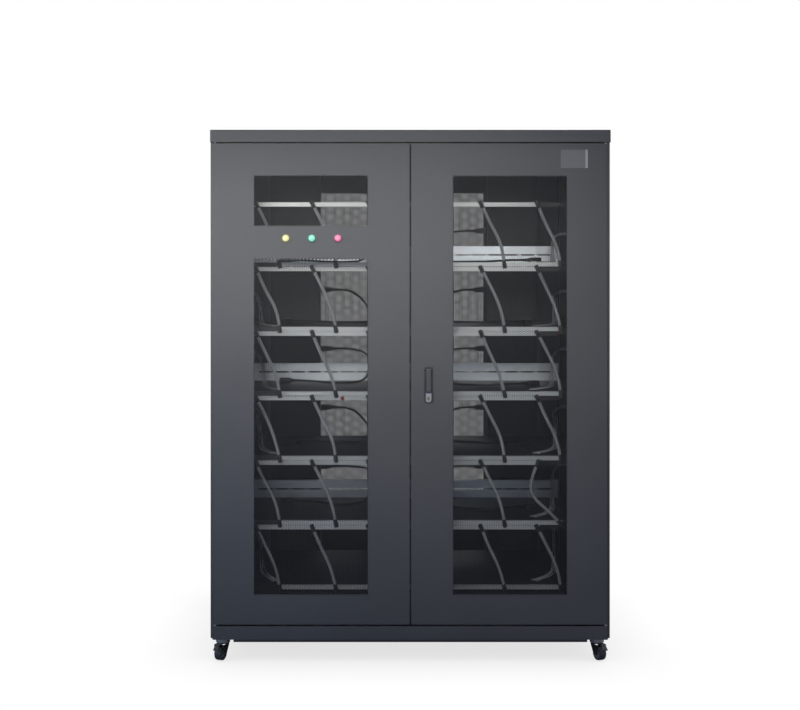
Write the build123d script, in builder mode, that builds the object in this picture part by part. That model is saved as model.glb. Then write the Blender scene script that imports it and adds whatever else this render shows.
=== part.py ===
"""A liquid cooling cabinet on casters: two perforated front doors, six bays of coolant
rails and jumper hoses, and two power columns. Millimetres, +Z up, front towards -Y,
origin on the floor under the middle of the whole cabinet."""

import os
from math import ceil, cos, pi, radians, sin, tan

from build123d import *

os.makedirs("parts", exist_ok=True)

# Overall size
width = 1400
depth = 1000
height = 1860
caster_height = 79
sheet = 2
gap = 6

# Swing handle, which stands in front of the doors
handle_edge = 60
handle_bottom = 907
handle_width = 30
handle_length = 125
handle_plate = 6
handle_pocket_width = 18
handle_pocket_depth = 4.5
lever_width = 15
lever_length = 84
lever_thickness = 8.5
lever_pin_radius = 2
handle_margin = 5
lock_width = 20
lock_length = 31
lock_height = 9
seat_gap = 0.3
running_fit = 0.1
lever_rise = handle_plate - handle_pocket_depth + seat_gap
handle_reach = lever_rise + lever_thickness

# Depth positions count from the doors' front face
front = -(depth + handle_reach) / 2 + handle_reach
back = front + depth

# Roof cap and base
cap_height = 43
cap_rim = 40
base_height = 47
base_top = caster_height + base_height
cap_bottom = height - cap_height
top_flange = 40
caster_flange = 76

# Side panels and the posts behind their folded edges
edge_strip = 13
edge_return = 26
setback = 21
post_size = 40
post_wall = 2.5
upright_depth = 40
upright_width = 30

# Doors
door_thickness = 14
door_skin = 1.5
door_lip = 14
door_bottom = base_top + gap
door_top = cap_bottom - gap
door_outer = width / 2 - edge_strip
door_inner = gap / 2
pivot_inset = 5
pivot_radius = 2.5
pivot_boss = 9
pivot_boss_height = 16

# Perforated windows in the doors and the back
window_inner_margin = 144
window_outer_margin = 139
window_bottom_margin = 102
window_top_margin = 109
back_window_margin = 168
upper_window_height = 180
lamp_band_height = 110
window_inner = door_inner + window_inner_margin
window_outer = door_outer - window_outer_margin
window_bottom = door_bottom + window_bottom_margin
window_top = door_top - window_top_margin
back_window_bottom = door_bottom + back_window_margin
lamp_band_top = window_top - upper_window_height
lamp_band_bottom = lamp_band_top - lamp_band_height

# Plain grid of openings that stands for the fine holes of the perforated sheets
grid_columns = 6
grid_row_height = 124
grid_open_share = 0.8

# Lamps on the left door
lamp_height = lamp_band_bottom + 69
lamp_pitch = 91
lamp_shift = 3.5
lamp_middle = lamp_shift - (window_inner + window_outer) / 2
lamp_places = {
    "yellow_lamp": lamp_middle - lamp_pitch, "green_lamp": lamp_middle, "red_lamp": lamp_middle + lamp_pitch,
}
lamp_bezel_radius = 15.5
lamp_lens_radius = 11.5
lamp_bezel_height = 3
lamp_dome = 5
lamp_body_radius = 11
lamp_body_length = 34

# Blank plate on the right door
plate_width = 94
plate_height = 64
plate_side_margin = 68
plate_top_margin = 21
plate_thickness = 1.5

# Bays and coolant rails
bay_pitch = 232.4
first_shelf = 236
bays = int((cap_bottom - post_size - first_shelf) / bay_pitch)
shelf_thickness = 2
shelf_lip = 31.5
shelf_front = 157.5
shelf_back = 750
rail_size = 15
rail_gap = 1.6
header_inset = 80
supply_branch = 64
return_branch = 68
rail_offset = 83
header_x = width / 2 - header_inset
rail_length = 2 * header_x - supply_branch - return_branch - rail_offset
supply_rail_left = -header_x + supply_branch
return_rail_left = supply_rail_left + rail_offset
ports = 6
port_inset = 8
port_pitch = (rail_length - 2 * port_inset) / (ports - 1)
fitting_radius = 8
fitting_length = 29
fitting_reach = 12
stub_size = 9
header_radius = 25
header_y = 132
header_lift = 24
branch_radius = 6

# Hoses, cords and bundles of leads are tubes of few sides
tube_sides = 6

# Jumper hoses: the fittings lean out of plumb by these angles, in degrees
hose_radius = 6
hose_run = 55
supply_lean = [27, 23, 29, 25, 21, 28]
return_lean = [9, 12, 7, 10, 13, 8]
bowed_hose = (1, 5)
bowed_supply_lean = -22
bowed_return_lean = 45
bowed_via = (-20, -120)

# Clips that hold the two rails of a level together, and the red drain caps
clip_width = 8
clip_thickness = 2
clip_places = [48, 466, 885]
drain_radius = 7
drain_length = 12
front_drain = 317

# Cable trays that stand on three of the shelves
tray_front = 640
tray_height = 68
tray_flange = 24
tray_margin = 58
slot_length = 53
slot_height = 6
slot_pitch = 65
tray_clearance = 60

# Power columns at the back
column_side_gap = 160
column_width = 200
column_outer = width / 2 - column_side_gap
column_inner = column_outer - column_width
column_front = 760
socket_depth_place = 850
first_socket = 321
socket_pitch = 242.6
socket_width = 32
socket_height = 24
socket_recess = 10

# Power plugs, their cords and the connectors at the cords' ends
first_plug = 1
plug_fit = 0.3
plug_body = 46
plug_end_size = 18
plug_chamfer = 4
relief_length = 28
relief_radius = 6
relief_sides = 8
relief_taper = 2
cord_radius = 4.25
cord_lie = cord_radius + 0.3
connector_length = 46
connector_width = 27
connector_height = 20
connector_lie = connector_height / 2 + 0.3

# Grey sensor leads, in bundles that come out of a clip on the rear uprights
lead_radius = 7
lead_lie = lead_radius + 0.3
lead_clip = 12
lead_clip_height = 20
lead_exit_height = 120
lead_clip_depth = 722

# Casters
caster_margin = 6
caster_inset = 48
caster_plate = 70
caster_x = width / 2 - caster_margin - caster_plate / 2
caster_plate_thickness = 4
race_radius = 25
race_height = 15
race_gap = 0.5
crown_thickness = 4
fork_width = 39
fork_side = 3
wheel_radius = 26
wheel_width = 26
axle_radius = 4
caster_trail = 18
caster_turn = 22
tongue_start = 42
tongue_end = 57
tongue_drop = 14
tongue_width = 18
tongue_thickness = 3

# Lock case and rods behind the right door
case_width = 40
case_height = 150
case_depth = 20
rod_radius = 4
rod_x_shift = -30
rod_end_gap = 20
guide_size = 12
guide_height = 14
guide_places = [0.25, 0.8]


def write(piece, name):
    """Labels a finished piece and writes its file."""
    piece.part.label = name
    export_step(piece.part, f"parts/{name}.step")


def write_group(solids, name):
    """Writes solids that don't touch as one piece."""
    group = Compound(solids)
    group.label = name
    export_step(group, f"parts/{name}.step")


def span(x0, x1, y0, y1, z0, z1, mode=Mode.ADD):
    """A block between two corners, added to or cut from the piece being built."""
    with Locations(((x0 + x1) / 2, (y0 + y1) / 2, (z0 + z1) / 2)):
        Box(abs(x1 - x0), abs(y1 - y0), abs(z1 - z0), mode=mode)


def corner_radii(points):
    """The largest arc that each corner of a route allows."""
    radii = []
    for before, corner, after in zip(points, points[1:], points[2:]):
        came = Vector(*corner) - Vector(*before)
        goes = Vector(*after) - Vector(*corner)
        turn = radians(came.get_angle(goes))
        radii.append(0.45 * min(came.length, goes.length) / tan(turn / 2))
    return radii


def tube(name, points, radius):
    """A plain tube of few sides along straight runs and tangent arcs."""
    radii = corner_radii(points)
    with BuildPart() as run:
        with BuildLine():
            route = FilletPolyline(*points, radius=radii)
        with BuildSketch(Plane(route @ 0, z_dir=route % 0)):
            RegularPolygon(radius, tube_sides)
            area = tube_sides / 2 * radius**2 * sin(2 * pi / tube_sides)
        sweep(path=route)
    print(name, "length", round(route.length), "radii", [round(r) for r in radii],
          "volume share", round(run.part.volume / (area * route.length), 3))
    return run.part


# Roof cap: a folded lid with a rim turned in underneath
with BuildPart() as roof_cap:
    span(-width / 2, width / 2, front, back, cap_bottom, height)
    fillet(roof_cap.edges().filter_by(Axis.Z), 3)
    fillet(roof_cap.faces().sort_by(Axis.Z)[-1].edges(), 3)
    span(
        -width / 2 + sheet, width / 2 - sheet, front + sheet, back - sheet,
        cap_bottom + sheet, height - sheet, mode=Mode.SUBTRACT,
    )
    span(
        -width / 2 + cap_rim, width / 2 - cap_rim, front + cap_rim + setback,
        back - cap_rim - setback, cap_bottom, cap_bottom + sheet, mode=Mode.SUBTRACT,
    )
write(roof_cap, "roof_cap")

# Base: a ring folded from sheet, open towards the middle, with fascias front and back
with BuildPart() as base_frame:
    inner_side = width / 2 - sheet
    with BuildSketch(Plane.XY.offset(caster_height)):
        with Locations((0, (front + back) / 2)):
            Rectangle(2 * inner_side, depth - 2 * setback - 2 * sheet)
            Rectangle(2 * door_outer, depth)
            side_return = width / 2 - edge_return
        for y in (front + setback + sheet / 2, back - setback - sheet / 2):
            for side in (-1, 1):
                with Locations((side * (side_return + door_outer) / 2, y)):
                    Rectangle(door_outer - side_return, sheet, mode=Mode.SUBTRACT)
    extrude(amount=base_height)
    span(
        -inner_side + sheet, inner_side - sheet, front + setback + 2 * sheet,
        back - setback - 2 * sheet, caster_height + sheet, base_top - sheet, mode=Mode.SUBTRACT,
    )
    span(
        -inner_side + top_flange, inner_side - top_flange, front + setback + top_flange,
        back - setback - top_flange, base_top - sheet, base_top, mode=Mode.SUBTRACT,
    )
    span(
        -inner_side + caster_flange, inner_side - caster_flange, front + caster_flange,
        back - caster_flange, caster_height, caster_height + sheet, mode=Mode.SUBTRACT,
    )
write(base_frame, "base_frame")

# Drip tray: the shallow pan that shows as a low lip between the casters
tray_side = caster_x - caster_plate / 2 - gap
pan_depth = 9
with BuildPart() as drip_tray:
    span(-tray_side, tray_side, front + 3, back - 3, caster_height - pan_depth, caster_height)
    span(
        -tray_side + sheet, tray_side - sheet, front + 3 + sheet, back - 3 - sheet,
        caster_height - pan_depth + sheet, caster_height, mode=Mode.SUBTRACT,
    )
write(drip_tray, "drip_tray")

# Floor plate on the base, cut out round the four posts
floor_top = base_top + sheet
with BuildPart() as floor_plate:
    span(-inner_side, inner_side, front + setback + sheet, back - setback - sheet, base_top, floor_top)
    for x in (-1, 1):
        for y in (front + setback + sheet, back - setback - sheet - post_size):
            span(
                x * (inner_side - post_size), x * inner_side, y, y + post_size,
                base_top, floor_top, mode=Mode.SUBTRACT,
            )
write(floor_plate, "floor_plate")

# Side panels, folded in at the front and back edges
for name, side in (("left_side_panel", -1), ("right_side_panel", 1)):
    with BuildPart() as side_panel:
        outer = side * width / 2
        span(outer - side * edge_return, outer, front + setback, back - setback, caster_height, cap_bottom)
        span(
            outer - side * edge_return, outer - side * sheet, front + setback + sheet,
            back - setback - sheet, caster_height, cap_bottom, mode=Mode.SUBTRACT,
        )
    write(side_panel, name)

# Four corner posts and the four rails that join them under the cap
post_x = inner_side - post_size / 2
post_front = front + setback + sheet + post_size / 2
post_back = back - setback - sheet - post_size / 2
with BuildPart() as corner_posts:
    with BuildSketch(Plane.XY.offset(base_top)):
        with Locations(*[(x, y) for x in (-post_x, post_x) for y in (post_front, post_back)]):
            Rectangle(post_size, post_size)
            Rectangle(post_size - 2 * post_wall, post_size - 2 * post_wall, mode=Mode.SUBTRACT)
    extrude(amount=cap_bottom - base_top)
write(corner_posts, "corner_posts")

top_rail_z = cap_bottom - post_size / 2
with BuildPart() as top_rails:
    with BuildSketch(Plane.YZ.offset(-post_x + post_size / 2)):
        with Locations((post_front, top_rail_z), (post_back, top_rail_z)):
            Rectangle(post_size, post_size)
            Rectangle(post_size - 2 * post_wall, post_size - 2 * post_wall, mode=Mode.SUBTRACT)
    extrude(amount=2 * post_x - post_size)
    with BuildSketch(Plane.XZ.offset(-post_front - post_size / 2)):
        with Locations((-post_x, top_rail_z), (post_x, top_rail_z)):
            Rectangle(post_size, post_size)
            Rectangle(post_size - 2 * post_wall, post_size - 2 * post_wall, mode=Mode.SUBTRACT)
    extrude(amount=-(post_back - post_front - post_size))
write(top_rails, "top_rails")

# Angle uprights on both sides, which carry the shelves and the top rail's support
with BuildPart() as uprights:
    for side in (-1, 1):
        outer = side * inner_side
        inner = outer - side * upright_width
        for y0, wall_y in (
            (front + shelf_front, front + shelf_front),
            (front + shelf_back - upright_depth, front + shelf_back - sheet),
        ):
            span(inner, inner + side * sheet, y0, y0 + upright_depth, floor_top, cap_bottom - post_size)
            span(inner, outer, wall_y, wall_y + sheet, floor_top, cap_bottom - post_size)
write(uprights, "uprights")

# Shelves with folded front and back lips, between the uprights
shelf_tops = [first_shelf + bay_pitch * n for n in range(bays)]
shelf_side = inner_side - upright_width
with BuildPart() as shelves:
    for top in shelf_tops:
        span(-shelf_side, shelf_side, front + shelf_front, front + shelf_back, top - shelf_lip, top)
        span(
            -shelf_side, shelf_side, front + shelf_front + shelf_thickness,
            front + shelf_back - shelf_thickness, top - shelf_lip, top - shelf_thickness,
            mode=Mode.SUBTRACT,
        )
write(shelves, "shelves")

# The top supply rail has no shelf, so a bar between the uprights carries it
top_level = first_shelf + bay_pitch * bays
rail_back = front + shelf_front
with BuildPart() as rail_support:
    supply_drop = rail_size + rail_gap
    span(
        -shelf_side, shelf_side, rail_back, rail_back + sheet,
        top_level - supply_drop - rail_size, top_level - supply_drop,
    )
write(rail_support, "rail_support")

# Coolant rails: supply rails hang under the return rails on the shelf fronts
rail_y = rail_back - rail_size / 2
with BuildPart() as supply_rails:
    for top in shelf_tops[1:] + [top_level]:
        z1 = top - supply_drop
        span(
            supply_rail_left, supply_rail_left + rail_length, rail_back - rail_size, rail_back,
            z1 - rail_size, z1,
        )
write(supply_rails, "supply_rails")

with BuildPart() as return_rails:
    for top in shelf_tops:
        span(
            return_rail_left, return_rail_left + rail_length, rail_back - rail_size, rail_back,
            top - rail_size, top,
        )
write(return_rails, "return_rails")

# Headers that feed the rails, with a branch to each
for name, side, rail_end, tops in (
    ("supply_header", -1, supply_rail_left, [t - supply_drop for t in shelf_tops[1:] + [top_level]]),
    ("return_header", 1, return_rail_left + rail_length, shelf_tops),
):
    with BuildPart() as header:
        with Locations((side * header_x, front + header_y, base_top + header_lift)):
            Cylinder(
                header_radius, top_level + rail_size - base_top - header_lift,
                align=(Align.CENTER, Align.CENTER, Align.MIN),
            )
        for top in tops:
            with BuildSketch(Plane.YZ.offset(rail_end)):
                with Locations((rail_y, top - rail_size / 2)):
                    RegularPolygon(branch_radius, relief_sides)
            extrude(amount=side * (header_x - abs(rail_end)))
    write(header, name)

# Fittings at the rails' ports, each leaning as its hose pulls it
fitting_y = rail_back - rail_size - fitting_reach
port_x = [port_inset + port_pitch * n for n in range(ports)]


def downward(lean):
    """The direction of a fitting or hose that leans out of plumb."""
    return Vector(sin(radians(lean)), 0, -cos(radians(lean)))


def leans(bay, port):
    """How far the upper and the lower fitting of a hose lean."""
    if (bay, port) == bowed_hose:
        return bowed_supply_lean, bowed_return_lean
    return supply_lean[(port + bay) % ports], return_lean[(port + 2 * bay) % ports]


supply_ports, return_ports = {}, {}
for bay, (bottom, top) in enumerate(zip(shelf_tops, shelf_tops[1:] + [top_level])):
    for port, x in enumerate(port_x):
        supply_ports[bay, port] = Vector(supply_rail_left + x, fitting_y, top - supply_drop - rail_size / 2)
        return_ports[bay, port] = Vector(return_rail_left + x, fitting_y, bottom - rail_size / 2)
for name, places, end in (("supply_fittings", supply_ports, 0), ("return_fittings", return_ports, 1)):
    with BuildPart() as fittings:
        planes = [
            Plane(place, x_dir=(0, 1, 0), z_dir=downward(leans(*key)[end])) for key, place in places.items()
        ]
        with BuildSketch(*planes):
            RegularPolygon(fitting_radius, 6)
        extrude(amount=fitting_length / 2, both=True)
        with BuildSketch(Plane.XZ.offset(-(rail_back - rail_size))):
            with Locations(*[(place.X, place.Z) for place in places.values()]):
                Rectangle(stub_size, stub_size)
        extrude(amount=fitting_reach)
    write(fittings, name)

# Jumper hoses from each supply port to the return port one bay below
hoses = []
for key in supply_ports:
    lean_out, lean_in = leans(*key)
    start = supply_ports[key] + downward(lean_out) * (fitting_length / 2)
    end = return_ports[key] - downward(lean_in) * (fitting_length / 2)
    via = [supply_ports[key] + Vector(bowed_via[0], 0, bowed_via[1])] if key == bowed_hose else []
    route = [start, start + downward(lean_out) * hose_run, *via, end - downward(lean_in) * hose_run, end]
    hoses.append(tube(f"hose {key}", [tuple(p) for p in route], hose_radius))
write_group(hoses, "loop_hoses")

# Clips that clamp a level's two rails
clip_y = rail_back - rail_size
with BuildPart() as rail_clips:
    for top in shelf_tops[1:]:
        for x in clip_places:
            x0 = return_rail_left + x - clip_width / 2
            span(x0, x0 + clip_width, clip_y - clip_thickness, clip_y, top - supply_drop - rail_size, top)
write(rail_clips, "rail_clips")

# Red drain caps: one on the front of a supply rail, one under the end of a return rail
with BuildPart() as rail_drains:
    drain_level = shelf_tops[-3] - supply_drop - rail_size / 2
    with Locations(Location((supply_rail_left + front_drain, clip_y, drain_level), (90, 0, 0))):
        Cylinder(drain_radius, drain_length, align=(Align.CENTER, Align.CENTER, Align.MIN))
    with Locations((return_rail_left + rail_length - port_inset, rail_y, shelf_tops[-2] - rail_size)):
        Cylinder(drain_radius, drain_length, align=(Align.CENTER, Align.CENTER, Align.MAX))
write(rail_drains, "rail_drains")

# Cable trays: slotted channels that stand on three shelves
tray_length = 2 * (shelf_side - tray_margin)
with BuildPart() as cable_trays:
    for top in shelf_tops[1::2]:
        y0 = front + tray_front
        x1 = tray_length / 2
        span(-x1, x1, y0, y0 + tray_flange, top, top + tray_height)
        span(
            -x1, x1, y0 + sheet, y0 + tray_flange, top + sheet, top + tray_height - sheet,
            mode=Mode.SUBTRACT,
        )
        slot_count = int(tray_length / slot_pitch)
        with Locations((0, y0 + sheet / 2, top + tray_height / 2)):
            with GridLocations(slot_pitch, sheet, slot_count, 1):
                Box(slot_length, sheet, slot_height, mode=Mode.SUBTRACT)
write(cable_trays, "cable_trays")

# Power columns with a socket in the inner side for each bay
column_top = cap_bottom - post_size
column_back = back - setback - sheet - post_size
for name, side in (("left_power_unit", -1), ("right_power_unit", 1)):
    with BuildPart() as power_unit:
        span(
            side * column_inner, side * column_outer, front + column_front, column_back,
            floor_top, column_top,
        )
        for n in range(bays):
            z = first_socket + socket_pitch * n
            y = front + socket_depth_place
            span(
                side * column_inner, side * (column_inner + socket_recess),
                y - socket_width / 2, y + socket_width / 2,
                z - socket_height / 2, z + socket_height / 2, mode=Mode.SUBTRACT,
            )
    write(power_unit, name)

# A power plug: its nose sits in a socket, and its body narrows to the cord's relief
with BuildPart() as plug:
    with BuildSketch(Plane.YZ.offset(-socket_recess + plug_fit)):
        Rectangle(socket_width - 2 * plug_fit, socket_height - 2 * plug_fit)
    extrude(amount=socket_recess)
    with BuildSketch(Plane.YZ.offset(plug_fit)):
        Rectangle(socket_width, socket_height)
        chamfer(vertices(), plug_chamfer)
    with BuildSketch(Plane.YZ.offset(plug_body)):
        Rectangle(plug_end_size, plug_end_size)
        chamfer(vertices(), plug_chamfer)
    loft()
    with BuildSketch(Plane.YZ.offset(plug_body)):
        RegularPolygon(relief_radius, relief_sides)
    extrude(amount=relief_length, taper=relief_taper)

# A connector, which lies on a shelf at the end of a cord
with BuildPart() as connector:
    with BuildSketch():
        RegularPolygon(relief_radius - 1, relief_sides)
    extrude(amount=relief_length, taper=-relief_taper)
    with BuildSketch(Plane.XY.offset(relief_length)):
        Rectangle(connector_width, connector_height)
        chamfer(vertices(), plug_chamfer)
    extrude(amount=connector_length)

# Routes of the power cords on the shelves: inward of the column, behind the front, above the shelf.
# Every second shelf carries a cable tray, which the cord goes over.
cords_over_tray = {
    -1: [
        (200, 750, 94), (210, 690, 88), (214, 628, 84), (208, 574, 46), (192, 524, 14), (156, 482, cord_lie),
        (104, 462, cord_lie), (44, 470, cord_lie), (-14, 492, connector_lie), (-66, 500, connector_lie),
    ],
    1: [
        (202, 752, 94), (216, 692, 88), (223, 628, 84), (224, 572, 46), (218, 516, 14), (198, 458, cord_lie),
        (160, 404, cord_lie), (106, 362, cord_lie), (42, 340, cord_lie), (-24, 346, connector_lie),
        (-80, 366, connector_lie),
    ],
}
cords_on_shelf = {
    -1: [
        (214, 752, 24), (226, 698, 7), (224, 636, cord_lie), (204, 578, cord_lie), (160, 536, cord_lie),
        (102, 518, cord_lie), (40, 524, cord_lie), (-20, 510, connector_lie), (-74, 478, connector_lie),
    ],
    1: [
        (212, 750, 24), (216, 694, 7), (204, 632, cord_lie), (172, 578, cord_lie), (122, 540, cord_lie),
        (62, 524, cord_lie), (2, 504, cord_lie), (-46, 464, connector_lie), (-80, 414, connector_lie),
    ],
}
cord_shift = {1: (0, 0), 2: (10, -12), 3: (-8, 10), 4: (6, -22), 5: (-12, -6)}


def cord_route(side, bay):
    """The points of one power cord, from its plug to its connector."""
    rise = first_socket + socket_pitch * bay - shelf_tops[bay]
    reach = plug_body + relief_length
    if bay % 2 == 1:
        leave = [(34, 0, rise), (78, -16, rise * 0.8 + 18), (110, -52, rise * 0.3 + 66)]
        rest = cords_over_tray[side]
    else:
        leave = [(34, 0, rise), (78, -14, rise - 20), (114, -50, rise - 60)]
        rest = cords_on_shelf[side]
    sideways, deeper = cord_shift[bay]
    spots = [(reach, socket_depth_place, rise)]
    spots += [(reach + u, socket_depth_place + d, z) for u, d, z in leave]
    spots += [(u + sideways, d + (deeper if d < tray_front - tray_clearance else 0), z) for u, d, z in rest]
    return [(side * (column_inner - u), front + d, shelf_tops[bay] + z) for u, d, z in spots]


connectors = []
for side_name, side in (("left", -1), ("right", 1)):
    plugs, cords = [], []
    for bay in range(first_plug, min(bays, len(cord_shift) + 1)):
        place = Pos(side * column_inner, front + socket_depth_place, first_socket + socket_pitch * bay)
        plugs.append(place * Rot(0, 0, 90 + side * 90) * plug.part)
        route = cord_route(side, bay)
        cords.append(tube(f"{side_name} cord {bay}", route, cord_radius))
        heading = Vector(*route[-1]) - Vector(*route[-2])
        lying = Plane(route[-1], x_dir=heading.cross(Vector(0, 0, 1)), z_dir=heading)
        connectors.append(lying.location * connector.part)
    write_group(plugs, f"{side_name}_power_plugs")
    write_group(cords, f"{side_name}_power_cords")
write_group(connectors, "cord_connectors")

# Routes of the grey leads: inward of the upright, behind the front, above the shelf
leads = {
    -1: [
        (12, 722, 120), (40, 722, 120), (68, 696, 112), (84, 650, 100), (94, 600, 86), (104, 548, 62),
        (110, 494, 36), (114, 438, 15), (120, 380, lead_lie), (132, 324, lead_lie), (150, 270, lead_lie),
        (178, 220, lead_lie),
    ],
    1: [
        (12, 722, 120), (38, 722, 120), (62, 692, 112), (76, 644, 100), (84, 592, 86), (92, 538, 62),
        (100, 484, 36), (108, 428, 15), (118, 372, lead_lie), (136, 318, lead_lie), (162, 266, lead_lie),
        (200, 222, lead_lie),
    ],
}
lead_shelves = {-1: [0, 2, 3, 4], 1: [0, 1, 2, 3, 4, 5]}
lead_shift = [0, 6, -5, 8, -3, 4]
first_shifted = 4
with BuildPart() as lead_clips:
    for side, levels in lead_shelves.items():
        for level in levels:
            if level < bays:
                middle = shelf_tops[level] + lead_exit_height
                span(
                    side * (shelf_side - lead_clip), side * shelf_side, front + lead_clip_depth - lead_clip,
                    front + lead_clip_depth + lead_clip, middle - lead_clip_height / 2,
                    middle + lead_clip_height / 2,
                )
write(lead_clips, "lead_clips")
for side_name, side in (("left", -1), ("right", 1)):
    bundles = []
    for level in lead_shelves[side]:
        if level < bays:
            route = [
                (
                    side * (shelf_side - v - (lead_shift[level] if n >= first_shifted else 0)),
                    front + d, shelf_tops[level] + z,
                )
                for n, (v, d, z) in enumerate(leads[side])
            ]
            bundles.append(tube(f"{side_name} leads {level}", route, lead_radius))
    write_group(bundles, f"{side_name}_sensor_leads")


def pan(side, face, inward):
    """A door or back panel: a sheet with its edges folded back and turned in."""
    outer, inner = side * door_outer, side * door_inner
    face_back = face + inward * door_thickness
    span(inner, outer, face, face_back, door_bottom, door_top)
    span(
        inner + side * door_skin, outer - side * door_skin, face + inward * door_skin,
        face_back - inward * door_skin, door_bottom + door_skin, door_top - door_skin,
        mode=Mode.SUBTRACT,
    )
    span(
        inner + side * door_lip, outer - side * door_lip, face + inward * door_skin, face_back,
        door_bottom + door_lip, door_top - door_lip, mode=Mode.SUBTRACT,
    )


def window(side, face, inward, z0, z1, mode):
    """The place of a perforated sheet, cut from the panel or filled."""
    span(side * window_inner, side * window_outer, face, face + inward * door_skin, z0, z1, mode=mode)


def perforated(side, face, inward, z0, z1):
    """A perforated sheet, with a plain grid of openings for its fine holes."""
    window(side, face, inward, z0, z1, Mode.ADD)
    rows = ceil((z1 - z0) / grid_row_height)
    column_pitch, row_pitch = (window_outer - window_inner) / grid_columns, (z1 - z0) / rows
    middle = (side * (window_inner + window_outer) / 2, face + inward * door_skin / 2, (z0 + z1) / 2)
    with Locations(Location(middle, (90, 0, 0))):
        with GridLocations(column_pitch, row_pitch, grid_columns, rows):
            Box(
                column_pitch * grid_open_share, row_pitch * grid_open_share, door_skin,
                mode=Mode.SUBTRACT,
            )


# Back panels, which don't open
for name, mesh_name, side in (
    ("rear_left_panel", "rear_left_mesh", -1),
    ("rear_right_panel", "rear_right_mesh", 1),
):
    with BuildPart() as rear_panel:
        outer, inner = side * door_outer, side * door_inner
        span(inner, outer, back, back - setback, door_bottom, door_top)
        span(
            inner + side * door_skin, outer - side * door_skin, back - door_skin, back - setback,
            door_bottom + door_skin, door_top - door_skin, mode=Mode.SUBTRACT,
        )
        window(side, back, -1, back_window_bottom, window_top, Mode.SUBTRACT)
    write(rear_panel, name)
    with BuildPart() as rear_mesh:
        perforated(side, back, -1, back_window_bottom, window_top)
    write(rear_mesh, mesh_name)

# Doors, with a boss in the outer corners for the pivot pins
windows = {
    -1: {
        "left_door_upper_mesh": (lamp_band_top, window_top),
        "left_door_lower_mesh": (window_bottom, lamp_band_bottom),
    },
    1: {"right_door_mesh": (window_bottom, window_top)},
}
pivot_y = front + pivot_inset
for name, side in (("left_door_panel", -1), ("right_door_panel", 1)):
    pivot_x = side * (door_outer - pivot_inset)
    with BuildPart() as door:
        pan(side, front, 1)
        for z0, z1 in windows[side].values():
            window(side, front, 1, z0, z1, Mode.SUBTRACT)
        boss_outer = side * (door_outer - door_skin)
        for z0 in (door_bottom + door_skin, door_top - door_skin - pivot_boss_height):
            span(
                boss_outer - side * pivot_boss, boss_outer, front + door_skin,
                front + door_skin + pivot_boss, z0, z0 + pivot_boss_height,
            )
        for z0 in (door_bottom, door_top - door_skin - pivot_boss_height):
            with Locations((pivot_x, pivot_y, z0)):
                Cylinder(
                    pivot_radius + running_fit, pivot_boss_height + door_skin,
                    align=(Align.CENTER, Align.CENTER, Align.MIN), mode=Mode.SUBTRACT,
                )
        if side < 0:
            for x in lamp_places.values():
                with BuildSketch(Plane.XZ.offset(-front - door_skin)):
                    with Locations((x, lamp_height)):
                        Circle(lamp_body_radius)
                extrude(amount=door_skin, mode=Mode.SUBTRACT)
    write(door, name)
    for mesh_name, (z0, z1) in windows[side].items():
        with BuildPart() as mesh:
            perforated(side, front, 1, z0, z1)
        write(mesh, mesh_name)

# Pivot pins: the lower ones have a collar that carries the door
with BuildPart() as door_pivots:
    pin_depth = pivot_boss_height * 0.8
    for side in (-1, 1):
        pivot_x = side * (door_outer - pivot_inset)
        with Locations((pivot_x, pivot_y, base_top)):
            Cylinder(pivot_radius, gap + pin_depth, align=(Align.CENTER, Align.CENTER, Align.MIN))
            Cylinder(pivot_boss / 2, gap - seat_gap, align=(Align.CENTER, Align.CENTER, Align.MIN))
        with Locations((pivot_x, pivot_y, door_top - pin_depth)):
            Cylinder(pivot_radius, gap + pin_depth, align=(Align.CENTER, Align.CENTER, Align.MIN))
write(door_pivots, "door_pivots")

# Lamps: a bezel on the skin, a low domed lens and the body behind
for name, x in lamp_places.items():
    with BuildPart() as lamp:
        with BuildSketch(Plane.XZ):
            with BuildLine():
                Polyline(
                    (0, -lamp_body_length), (lamp_body_radius, -lamp_body_length),
                    (lamp_body_radius, 0), (lamp_bezel_radius, 0),
                    (lamp_bezel_radius, lamp_bezel_height), (lamp_lens_radius, lamp_bezel_height),
                    (lamp_lens_radius * 0.8, lamp_bezel_height + lamp_dome * 0.7),
                    (lamp_lens_radius * 0.4, lamp_bezel_height + lamp_dome),
                    (0, lamp_bezel_height + lamp_dome), close=True,
                )
            make_face()
        revolve(axis=Axis.Z)
    lamp.part = Pos(x, front, lamp_height) * Rot(90, 0, 0) * lamp.part
    write(lamp, name)

# Blank plate on the right door
with BuildPart() as name_plate:
    with BuildSketch(Plane.XZ.offset(-front)):
        with Locations((
            door_outer - plate_side_margin - plate_width / 2, door_top - plate_top_margin - plate_height / 2,
        )):
            RectangleRounded(plate_width, plate_height, 3)
    extrude(amount=plate_thickness)
write(name_plate, "name_plate")

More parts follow.
